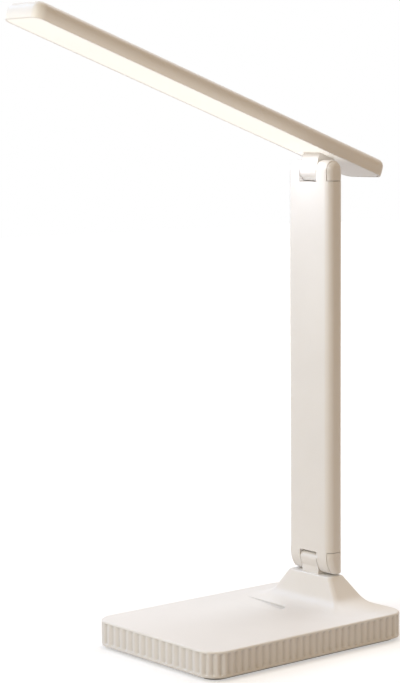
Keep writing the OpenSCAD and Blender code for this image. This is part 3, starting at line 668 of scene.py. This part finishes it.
def foot_share(k):
    """Share of its foot that the neck has, k below its top: none above the foot, then up to 1."""
    t = 1 - (NECK_H - k) / NECK_FOOT
    return 1 - math.sqrt(max(0.0, 1 - t * t)) if t > 0 else 0.0


def flare(k, face):
    """How far a face of the neck has flared, from its slope and the reach of its foot."""
    return face[0] * k + face[1] * foot_share(k)


def neck_ring(k, inset=0.0):
    """The neck's outline, k below its top."""
    front = KNUCKLE + flare(k, NECK_FRONT) - inset
    rear = KNUCKLE + flare(k, NECK_REAR) - inset
    half = ARM_W / 2 + flare(k, NECK_SIDE) - inset
    r = max(NECK_MIN_R, NECK_R + NECK_CORNER * foot_share(k) - inset)
    out = []
    for sx, sy, start in ((1, 1, 0), (-1, 1, 90), (-1, -1, 180), (1, -1, 270)):
        cx = HINGE_X + (front - r if sx > 0 else -rear + r)
        out += [(*circle_point(cx, sy * (half - r), r, start + 90 * i / NECK_CORNER_STEPS),
                 NECK_TOP - k) for i in range(NECK_CORNER_STEPS + 1)]
    full = []
    for i, p in enumerate(out):
        full.append(p)
        if i % (NECK_CORNER_STEPS + 1) == NECK_CORNER_STEPS:
            q = out[(i + 1) % len(out)]
            full += [tuple(a + (b - a) * j / NECK_SIDE_STEPS for a, b in zip(p, q))
                     for j in range(1, NECK_SIDE_STEPS)]
    return full


def scoop_depth(y):
    """Depth of the scoop's sloping floor."""
    return max(0.0, SCOOP_DEPTH * (y - SCOOP_Y0) / (SCOOP_Y1 - SCOOP_Y0))


def scoop_edge(inset):
    """Points (x, y) round the scoop: straight across its shallow end, round at its deep end."""
    r = SCOOP_R - inset
    centre = SCOOP_Y1 - SCOOP_R
    steps = range(1, SCOOP_SIDE_STEPS)
    points = [(x, SCOOP_Y0 + inset) for x in (SCOOP_X - r, SCOOP_X, SCOOP_X + r)]
    points += [(SCOOP_X + r, SCOOP_Y0 + (centre - SCOOP_Y0) * j / SCOOP_SIDE_STEPS)
               for j in steps]
    points += [(SCOOP_X + r * math.cos(math.pi * j / SCOOP_END_STEPS),
                centre + r * math.sin(math.pi * j / SCOOP_END_STEPS))
               for j in range(SCOOP_END_STEPS + 1)]
    points += [(SCOOP_X - r, centre - (centre - SCOOP_Y0) * j / SCOOP_SIDE_STEPS) for j in steps]
    return points


def scoop_row(inset, drop, top):
    """A ring of the scoop, lowered from the base's top or raised from the scoop's floor.

    Inset and drop shrink with the scoop's depth, where that is less than SCOOP_FULL."""
    out = []
    for (x0, y0), (x1, y1) in zip(scoop_edge(0), scoop_edge(1)):
        size = min(1.0, scoop_depth(y0) / SCOOP_FULL)
        shift = inset * size
        x, y = x0 + (x1 - x0) * shift, y0 + (y1 - y0) * shift
        z = BASE_H - drop * size if top else BASE_H - scoop_depth(y) + drop * size
        out.append((x, y, min(BASE_H, z)))
    return out


def scoop_rings():
    """Rings of the finger scoop, from the base's top down to its sloping floor."""
    turns = [math.radians(90 * j / SCOOP_EDGE_STEPS) for j in range(SCOOP_EDGE_STEPS + 1)]
    top, floor = SCOOP_TOP_R, SCOOP_FLOOR_R
    rows = [scoop_row(-top + top * math.sin(a), top * (1 - math.cos(a)), True) for a in turns]
    rows += [scoop_row(floor * (1 - math.cos(a)), floor * (1 - math.sin(a)), False)
             for a in turns]
    return rows


def build_base_cover():
    points = ribbed_outline()

    def wall(z, inset, share=0):
        """The base's outline at height z, set inwards, with a share of the ribs' depth."""
        out = []
        for x, y, nx, ny, drop in points:
            depth = inset + share * RIB_DEPTH * drop
            out.append((x - depth * nx, y - depth * ny, z))
        return out

    rows = [wall(CEILING, SIDE_T), wall(COVER_Z0 + COVER_CHAMFER, SIDE_T),
            wall(COVER_Z0, SIDE_T - COVER_CHAMFER), wall(COVER_Z0, COVER_EDGE),
            wall(COVER_Z0 + COVER_EDGE_MID, COVER_EDGE_MID), wall(COVER_Z0 + COVER_EDGE, 0)]
    rows += [wall(z, 0, share) for z, share in RIB_HEIGHTS]
    rows += [wall(z, inset)
             for inset, z in fillet(BASE_EDGE_STEPS, BASE_EDGE, BASE_H - BASE_EDGE)]
    rows.append(wall(BASE_H, TOP_MARGIN))
    size = len(points)
    verts = [p for row in rows for p in row]
    faces = rings_to_faces(len(rows), size)
    faces.append(tuple(range(size - 1, -1, -1)))
    outer = list(range(len(verts) - size, len(verts)))

    def add_rings(rings):
        """Adds a stack of rings and the faces between them, and says where it starts."""
        start, count = len(verts), len(rings[0])
        verts.extend(p for row in rings for p in row)
        faces.extend(tuple(start + i for i in f) for f in rings_to_faces(len(rings), count))
        return start, count

    # The neck, from its top face down to the base's top
    necks = [neck_ring(k, inset) for inset, k in NECK_TOP_ROWS]
    necks += [neck_ring(NECK_EDGE + (NECK_H - NECK_EDGE) * math.sin(math.pi / 2 * i / NECK_ROWS))
              for i in range(NECK_ROWS + 1)]
    start, count = add_rings(necks)
    faces.append(tuple(start + k for k in range(count)))
    neck_foot = list(range(len(verts) - count, len(verts)))

    start, count = add_rings(scoop_rings())
    faces.append(tuple(len(verts) - count + k for k in range(count)))
    scoop_rim = list(range(start, start + count))

    # The flat top, between the outer edge, the neck's foot and the scoop's rim
    obj = new_object("base_shell", verts, faces)
    bm = bmesh.new()
    bm.from_mesh(obj.data)
    bm.verts.ensure_lookup_table()
    bm.edges.ensure_lookup_table()
    edges = []
    for loop in (outer, neck_foot, scoop_rim):
        for a, b in zip(loop, loop[1:] + loop[:1]):
            edge = bm.edges.get((bm.verts[a], bm.verts[b]))
            edges.append(edge or bm.edges.new((bm.verts[a], bm.verts[b])))
    bmesh.ops.triangle_fill(bm, use_beauty=True, use_dissolve=False, edges=edges)
    bmesh.ops.recalc_face_normals(bm, faces=bm.faces)
    bm.to_mesh(obj.data)
    bm.free()

    # Recess and opening for the charging inlet, through the rear wall
    for length, width, radius, x1 in PORT_CUTS:
        shape = outline(length, width, radius, PORT_CORNER)
        rings = [[(x, PORT_Y + b, PORT_Z + a) for a, b, _, _ in shape]
                 for x in (BEHIND_BASE, x1)]
        cut(obj, tidy(loft("port_cut", rings)))
    place(obj, "base", base_white_shaded, ["base_cover"], sharp=40)


def base_outline(inset):
    """The base's outline without ribs, set inwards."""
    return outline(BASE_L - 2 * inset, BASE_W - 2 * inset, BASE_R - inset, BASE_CORNER)


def build_base_plate():
    shape = base_outline(PLATE_INSET)
    obj = tidy(loft("base_plate_cover", [ring(shape, 0, z) for z in PLATE_Z]))
    inset = FOOT_INSET - PLATE_INSET
    inner, outer = inset - GROOVE_GAP, inset + FOOT_W + GROOVE_GAP
    rows = ((inner, 0), (inner, FOOT_TOP), (outer, FOOT_TOP), (outer, 0))
    cut(obj, tidy(closed_loop("groove", [ring(shape, i, z) for i, z in rows])))
    for x, y in PLATE_SCREWS:
        cut(obj, tidy(move(turned("hole", PLATE_HOLE), Matrix.Translation((x, y, 0)))))
    flatten_faces(obj)
    soften(obj, *PLATE_BEVEL)
    place(obj, "base", plate_grey, ["base_plate"])


def build_foot_ring():
    shape = base_outline(FOOT_INSET)
    edge, mid = FOOT_EDGE, FOOT_EDGE_MID
    rows = ((0.0, FOOT_TOP), (0.0, edge), (mid, mid), (edge, 0.0), (FOOT_W - edge, 0.0),
            (FOOT_W - mid, mid), (FOOT_W, edge), (FOOT_W, FOOT_TOP))
    foot = closed_loop("foot_ring", [ring(shape, i, z) for i, z in rows])
    place(tidy(foot), "base", rubber, ["rubber_foot_ring"])


def cross_screw(head_r, head_t, shaft_r, length, depth):
    """Flat-headed screw along +Z with a cross recess in its head, which is at z = 0."""
    obj = tidy(turned("screw", [(head_r - SCREW_EDGE, 0), (head_r, SCREW_EDGE), (head_r, head_t),
                                (shaft_r, head_t + SCREW_CONE), (shaft_r, length)]))
    reach, width = head_r * CROSS_REACH, head_r * CROSS_WIDTH
    for turn in (CROSS_TURN, 90 + CROSS_TURN):
        slot = box("slot", (-reach, -width, -1), (reach, width, depth))
        cut(obj, move(slot, Matrix.Rotation(math.radians(turn), 4, "Z")))
    return obj


def build_screws():
    screws = [move(cross_screw(*PLATE_SCREW),
                   Matrix.Translation((x, y, PLATE_Z[0] + SCREW_SINK))) for x, y in PLATE_SCREWS]
    place(join("plate_screws", screws), "base", screw_steel, ["base_screws"],
          sharp=35)
    screws = [move(cross_screw(*BACK_SCREW),
                   Matrix.Translation((-KNUCKLE + SCREW_SINK, 0, z)) @ Z_TO_X)
              for z in BACK_SCREWS_Z]
    place(join("cover_screws", screws), "arm", screw_steel, ["arm_screws"],
          ARM_PLACE, sharp=35)


def build_port():
    """Charging inlet: a drawn steel shell with an insulated tongue inside."""
    x0 = -BASE_L / 2 + SHELL_SET
    outer = outline(*SHELL_OUTSIDE, PORT_CORNER)
    inner = outline(*SHELL_INSIDE, PORT_CORNER)

    def at(shape, x, inset=0.0):
        return [(x, PORT_Y + b, PORT_Z + a) for a, b, _ in ring(shape, inset, 0)]

    shell = tidy(loft("inlet_shell", [
        at(outer, x0 + SHELL_L), at(outer, x0 + SHELL_EDGE), at(outer, x0, SHELL_LIP),
        at(inner, x0, -SHELL_LIP), at(inner, x0 + SHELL_EDGE), at(inner, x0 + SHELL_DEPTH)]))
    place(shell, "base", steel, ["charge_port"])
    y, z = INLET_TONGUE_Y, INLET_TONGUE_Z
    tongue = box("inlet_tongue", (x0 + INLET_TONGUE_SET, PORT_Y - y, PORT_Z - z),
                 (x0 + SHELL_DEPTH, PORT_Y + y, PORT_Z + z))
    soften(tidy(tongue), *INLET_BEVEL)
    place(tongue, "base", dark)


# ---------------- arm and its hinges

ARC_ANGLES = (0, 7, 14, 20, 29.5, 38, 46, 54, 62, 70, 77, 84, 90)
ARC_PROFILE = [circle_point(KNUCKLE - ARM_R, ARM_W / 2 - ARM_R, ARM_R, a) for a in ARC_ANGLES]
FOOT_HEIGHTS = [HEEL_R * (1 - math.cos(math.radians(a))) - FOOT_Z
                for a in (0, 15, 30, 45, 60, 75)]
FOOT_HEIGHTS += [HEEL_R - FOOT_Z + (CURVE_Z - HEEL_R + FOOT_Z) * k / CURVE_ROWS
                 for k in range(CURVE_ROWS + 1)]


def u_sweep(name, profile, z_end):
    """Sweeps a (radius, y) profile down one side, round the hinge axis and up the other side.

    The profile starts and ends on the axis plane, so the swept surface closes on itself."""
    rows = [[(r, y, z_end) for r, y in profile]]
    for k in range(ARC_STEPS + 1):
        a = math.pi * k / ARC_STEPS
        rows.append([(r * math.cos(a), y, -r * math.sin(a)) for r, y in profile])
    rows.append([(-r, y, z_end) for r, y in profile])
    return swept(name, rows)


def arm_halves(z):
    """Front and rear half outlines of the arm at height z, each from +Y to -Y."""
    below = max(0.0, HEEL_R - FOOT_Z - z)
    edge = HEEL_R - math.sqrt(max(0.0, HEEL_R ** 2 - below ** 2))
    curve = CURVE_R - math.sqrt(CURVE_R ** 2 - max(0.0, CURVE_Z - z) ** 2)
    front, rear, side = KNUCKLE - curve - edge, edge - KNUCKLE, ARM_W / 2 - edge
    r = min(ARM_R, (front - rear) / 2 - SIDE_FLAT)
    turns = [circle_point(0, 0, 1, a) for a in ARC_ANGLES[::-1]]
    halves = []
    for face, way in ((front, 1), (rear, -1)):
        half = [((front + rear) / 2, side)]
        half += [(face - way * r * (1 - c), side - r * (1 - s)) for c, s in turns]
        halves.append([(x, y, z) for x, y in half] + [(x, -y, z) for x, y in half[::-1]])
    return halves


def arm_form(name):
    """The arm's outer form: its section swept up from its lower end and over the upper hinge."""
    heights = FOOT_HEIGHTS + [CURVE_Z + (ARM_L - CURVE_Z) * k / ARM_ROWS
                              for k in range(1, ARM_ROWS + 1)]
    halves = [arm_halves(z) for z in heights]
    rows = [front for front, _ in halves]
    profile = [(x, y) for x, y, _ in rows[-1]]
    for k in range(1, ARC_STEPS):
        a = math.pi * k / ARC_STEPS
        rows.append([(r * math.cos(a), y, ARM_L + r * math.sin(a)) for r, y in profile])
    rows += [rear for _, rear in halves[::-1]]
    return swept(name, rows)


def fork_cuts(slot, cap):
    """Blocks that cut one end of the arm: its slot, its ears' outer sides and the pin's bore."""
    cutters = [box("cut", (-PAST, -SLOT_HALF, -PAST), (PAST, SLOT_HALF, slot))]
    cutters += [box("cut", (-PAST, y0, -PAST), (PAST, y1, cap))
                for y0, y1 in ((-PAST_WIDE, -EAR_FACE), (EAR_FACE, PAST_WIDE))]
    bore = turned("bore", [(CUP_R, -PAST), (CUP_R, -WEB_FACE), (BORE_R, -WEB_FACE),
                           (BORE_R, WEB_FACE), (CUP_R, WEB_FACE), (CUP_R, PAST)])
    return cutters + [move(bore, Z_TO_Y)]


def back_panel(name, play, radius, x0, x1):
    """Block in the form of the arm's rear cover, smaller by play, between two depths."""
    shape = outline(BACK_Z[1] - BACK_Z[0] - play, BACK_W - play, radius, PANEL_CORNER)
    middle = sum(BACK_Z) / 2
    return tidy(loft(name, [[(x, b, middle + a) for a, b, _, _ in shape] for x in (x0, x1)]))


def build_arm():
    obj = arm_form("arm_shell")
    at_upper = Matrix.Translation((0, 0, ARM_L)) @ Matrix.Diagonal((1, 1, -1, 1))
    for turn, slot, cap in ((BASE_PLACE, SLOT_LOW, CAP_LOW), (at_upper, SLOT_UP, KNUCKLE)):
        cut(obj, *(tidy(move(cutter, turn)) for cutter in fork_cuts(slot, cap)))
    cut(obj, back_panel("cut", 0, RECESS_R, -PAST, -KNUCKLE + BACK_T))
    flatten_faces(obj)
    soften(obj, *SHELL_BEVEL)
    place(obj, "arm", white, ["arm_housing"], ARM_PLACE)

    cover = back_panel("arm_rear_cover", COVER_PLAY, COVER_R, -KNUCKLE,
                       -KNUCKLE + BACK_T - COVER_SINK)
    for z in BACK_SCREWS_Z:
        into = Matrix.Translation((-KNUCKLE, 0, z)) @ Z_TO_X
        cut(cover, tidy(move(turned("hole", BACK_HOLE), into)))
    flatten_faces(cover)
    soften(cover, *COVER_BEVEL)
    place(cover, "arm", white, ["arm_back_cover"], ARM_PLACE)


def build_caps():
    start = EAR_FACE + CAP_SEAM
    rim = KNUCKLE - ARM_R + math.sqrt(ARM_R ** 2 - (start - ARM_W / 2 + ARM_R) ** 2)
    profile = [(0, start), (rim, start)]
    profile += [p for p in ARC_PROFILE if p[1] > start + CAP_STEP] + [(0, ARM_W / 2)]
    for end in ("lower", "upper"):
        for side, mirror in (("left", 1), ("right", -1)):
            if end == "upper":
                obj = u_sweep("cap", profile, KNUCKLE - CAP_GAP)
                matrix = Matrix.Translation((0, 0, ARM_L)) @ Matrix.Diagonal((1, mirror, -1, 1))
            else:
                heights = FOOT_HEIGHTS + [CAP_LOW - CAP_GAP]
                rings = [front + rear[-2:0:-1] for front, rear in map(arm_halves, heights)]
                inside = box("cut", (-PAST, -PAST_WIDE, -PAST), (PAST, start, PAST))
                obj = cut(tidy(loft("cap", rings)), inside)
                matrix = Matrix.Diagonal((1, mirror, 1, 1))
            obj.name = f"{end}_side_cap_{side}"
            flatten_faces(tidy(move(obj, matrix)))
            tidy(soften(obj, *SHELL_BEVEL), SLIVER)
            place(obj, "arm", white, [f"{end}_cap_{side}"], ARM_PLACE)


def lower_tongue(name):
    """The tongue on the neck: round top corners, the arm's front curve, then straight down."""
    top, low = TONGUE_TOP - TONGUE_CORNER, NECK_TOP - HINGE_Z - TONGUE_SINK
    z_set = CURVE_Z - math.sqrt(CURVE_R ** 2 - (CURVE_R - TONGUE_SET) ** 2)
    rise = [z_set + (top - z_set) * k / TONGUE_ROWS for k in range(TONGUE_ROWS + 1)]
    points = [(KNUCKLE - TONGUE_SET, low)]
    points += [(KNUCKLE - CURVE_R + math.sqrt(CURVE_R ** 2 - (CURVE_Z - z) ** 2), z)
               for z in rise]
    front, rear = points[-1][0] - TONGUE_CORNER, TONGUE_CORNER - KNUCKLE
    points += [circle_point(front, top, TONGUE_CORNER, a)
               for a in range(TONGUE_TURN, 91, TONGUE_TURN)]
    points += [circle_point(rear, top, TONGUE_CORNER, a) for a in range(90, 181, TONGUE_TURN)]
    points.append((-KNUCKLE, low))
    half = TONGUE_W / 2
    return tidy(loft(name, [[(x, y, z) for x, z in points] for y in (-half, half)]))


def build_tongues():
    lower = lower_tongue("lower_tongue")
    stem = box("stem", (-STEM_X, -STEM_Y, STEM_Z0 - HINGE_Z),
               (STEM_X, STEM_Y, NECK_TOP - HINGE_Z + STEM_OVERLAP))
    half = TONGUE_W / 2
    upper = u_sweep("upper_tongue", [(0, half), (KNUCKLE, half), (KNUCKLE, -half), (0, -half)],
                    HEAD_GAP + FLANGE_OVERLAP)
    flange = box("flange", (FLANGE_X[0], -FLANGE_Y, HEAD_GAP + FLANGE_Z[0]),
                 (FLANGE_X[1], FLANGE_Y, HEAD_GAP + FLANGE_Z[1]))
    for obj, root, body, node, matrix in (
            (lower, stem, "base", "lower_hinge_block", ARM_PLACE),
            (upper, flange, "head", "upper_hinge_block", HEAD_PLACE)):
        combine(obj, root, "UNION")
        flatten_faces(obj)
        soften(obj, *TONGUE_BEVEL)
        place(obj, body, white, [node], matrix)


# ---------------- head

HEAD_SHAPE = outline(HEAD_FRONT + HEAD_REAR, HEAD_W, HEAD_R, HEAD_CORNER, HEAD_SIDE_STEPS)


def head_ring(inset, z):
    """The head's outline in its own frame, set inwards, at height z."""
    return ring(HEAD_SHAPE, inset, z, (HEAD_FRONT - HEAD_REAR) / 2)


def build_head_shell():
    z0, z1 = HEAD_GAP, HEAD_GAP + HEAD_T - BOX_MARGIN
    rows = [(HEAD_WALL, z1 - HEAD_WALL), (HEAD_WALL, z0 + HEAD_WALL_Z)]
    rows += [(inset, z0 + z) for inset, z in HEAD_RIM]
    rows.append((0.0, z1 - HEAD_EDGE - HEAD_SIDE_END))
    rows += fillet(HEAD_EDGE_STEPS, HEAD_EDGE, z1 - HEAD_EDGE)
    obj = tidy(loft("head_shell", [head_ring(i + BOX_MARGIN, z) for i, z in rows]))
    place(obj, "head", head_white_glow, ["head_housing"], HEAD_PLACE, sharp=45)


def clipped_sheet(name, x_lo, x_hi, heights):
    """Sheet inside the head's rim, between two cross lines."""
    z0, z1 = (HEAD_GAP + z for z in heights)
    inset, edge, mid = SHEET_INSET, SHEET_EDGE, SHEET_EDGE_MID * SHEET_EDGE
    rows = [(inset + edge, z0), (inset + mid, z0 + mid), (inset, z0 + edge), (inset, z1)]
    obj = tidy(loft(name, [head_ring(i, z) for i, z in rows]))
    for lo, hi in ((x_hi, x_hi + PAST_LONG), (x_lo - PAST_LONG, x_lo)):
        cut(obj, box("clip", (lo, -PAST_WIDE, CLIP_Z0), (hi, PAST_WIDE, PAST_WIDE)))
    return obj


def build_head_underside():
    lens = clipped_sheet("lens_sheet", LENS_X0, PAST_LONG, LENS_Z)
    flatten_faces(lens)
    place(lens, "head", lens_sheet, ["diffuser"], HEAD_PLACE)
    cover = clipped_sheet("rear_underside", -PAST_LONG, LENS_X0 - SHEET_GAP, REAR_Z)
    x, y = KNUCKLE + TONGUE_ROOM, TONGUE_W / 2 + TONGUE_ROOM
    cut(cover, box("hole", (-x, -y, 0), (x, y, TONGUE_HOLE_Z)))
    flatten_faces(cover)
    soften(cover, *REAR_BEVEL)
    place(cover, "head", rear_white_glow, ["head_rear_cover"], HEAD_PLACE)


# ---------------- stage, light and camera

def is_seen(nodes, links):
    """1 for camera, glossy and transmission rays, which see the white background."""
    path = nodes.new("ShaderNodeLightPath")
    total = path.outputs["Is Camera Ray"]
    for name in ("Is Glossy Ray", "Is Transmission Ray"):
        total = maths(nodes, links, "MAXIMUM", total, path.outputs[name])
    return total


def build_world():
    """Dim warm fill light, seen as a white background."""
    world = bpy.data.worlds.new("studio")
    bpy.context.scene.world = world
    world.use_nodes = True
    nodes, links = world.node_tree.nodes, world.node_tree.links
    fill = nodes["Background"]
    fill.inputs["Color"].default_value = (*FILL_COLOUR, 1)
    fill.inputs["Strength"].default_value = FILL_STRENGTH
    seen = nodes.new("ShaderNodeBackground")
    seen.inputs["Color"].default_value = (1, 1, 1, 1)
    seen.inputs["Strength"].default_value = 1.0
    mix = nodes.new("ShaderNodeMixShader")
    links.new(is_seen(nodes, links), mix.inputs["Fac"])
    links.new(fill.outputs[0], mix.inputs[1])
    links.new(seen.outputs[0], mix.inputs[2])
    links.new(mix.outputs[0], nodes["World Output"].inputs["Surface"])


def build_floor():
    """Pale floor: it keeps the lamp's shadow, and is seen as white away from the lamp."""
    h = FLOOR_HALF
    obj = new_object("floor", [(-h, -h, 0), (h, -h, 0), (h, h, 0), (-h, h, 0)], [(0, 1, 2, 3)])
    material = bpy.data.materials.new("pale_floor")
    material.use_nodes = True
    nodes, links = material.node_tree.nodes, material.node_tree.links
    nodes.clear()
    out = nodes.new("ShaderNodeOutputMaterial")
    base = nodes.new("ShaderNodeBsdfDiffuse")
    base.inputs["Color"].default_value = (FLOOR_GREY, FLOOR_GREY, FLOOR_GREY, 1)
    coords = nodes.new("ShaderNodeTexCoord")
    distance = nodes.new("ShaderNodeVectorMath")
    distance.operation = "LENGTH"
    links.new(coords.outputs["Object"], distance.inputs[0])
    level = map_range(nodes, links, distance.outputs["Value"], FLOOR_FADE, FLOOR_GLOW)
    seen = maths(nodes, links, "MULTIPLY", is_seen(nodes, links), level.outputs["Result"])
    glow = nodes.new("ShaderNodeEmission")
    glow.inputs["Color"].default_value = (1, 1, 1, 1)
    links.new(seen, glow.inputs["Strength"])
    add = nodes.new("ShaderNodeAddShader")
    links.new(base.outputs[0], add.inputs[0])
    links.new(glow.outputs[0], add.inputs[1])
    links.new(add.outputs[0], out.inputs["Surface"])
    obj.data.materials.append(material)


def area_light(name, shape, size, power, colour):
    """Area light, not yet placed."""
    data = bpy.data.lights.new(name, "AREA")
    data.shape = shape
    data.size, data.size_y = size
    data.energy = power
    data.color = colour
    obj = bpy.data.objects.new(name, data)
    bpy.context.scene.collection.objects.link(obj)
    return obj


def build_lamps():
    """The studio's round soft lights."""
    for name, spot, target, size, power, colour in LAMPS:
        obj = area_light(name, "DISK", (size, size), power, colour)
        obj.location = spot
        obj.rotation_mode = "QUATERNION"
        obj.rotation_quaternion = (Vector(target) - Vector(spot)).to_track_quat("-Z", "Y")


def build_panel_light():
    """The light that the lit panel throws on the arm and the base. It swings with the head."""
    obj = area_light("panel", "RECTANGLE", PANEL_SIZE, PANEL_POWER, PANEL_LIGHT)
    obj.visible_camera = False
    obj.parent = bpy.data.objects["head_shell"]
    matrix = HEAD_PLACE.copy()
    matrix.translation = (matrix @ Vector(PANEL_SPOT)) * MM
    obj.matrix_parent_inverse = Matrix.Identity(4)
    obj.matrix_basis = matrix


def build_camera():
    """Camera at the photograph's viewing angle and place."""
    data = bpy.data.cameras.new("camera")
    data.sensor_fit = "AUTO"
    data.sensor_width = SENSOR
    data.lens = FOCAL_PIXELS / PHOTO_HEIGHT * SENSOR
    data.clip_start, data.clip_end = CLIP_RANGE
    yaw, pitch, roll = (math.radians(a) for a in (CAMERA_YAW, CAMERA_PITCH, CAMERA_ROLL))
    look = Vector((-math.cos(yaw) * math.cos(pitch), -math.sin(yaw) * math.cos(pitch),
                   math.sin(pitch)))
    level = look.cross(Vector((0, 0, 1))).normalized()
    upright = level.cross(look)
    right = math.cos(roll) * level + math.sin(roll) * upright
    up = -math.sin(roll) * level + math.cos(roll) * upright
    matrix = Matrix((right, up, -look)).transposed().to_4x4()
    matrix.translation = Vector(CAMERA_SPOT) * MM
    obj = bpy.data.objects.new("camera", data)
    obj.matrix_world = matrix
    bpy.context.scene.collection.objects.link(obj)
    bpy.context.scene.camera = obj


build_base_cover()
build_base_plate()
build_foot_ring()
build_screws()
build_port()
build_arm()
build_caps()
build_tongues()
build_head_shell()
build_head_underside()
build_world()
build_floor()
build_lamps()
build_panel_light()
build_camera()
bpy.context.scene.view_settings.view_transform = "Standard"
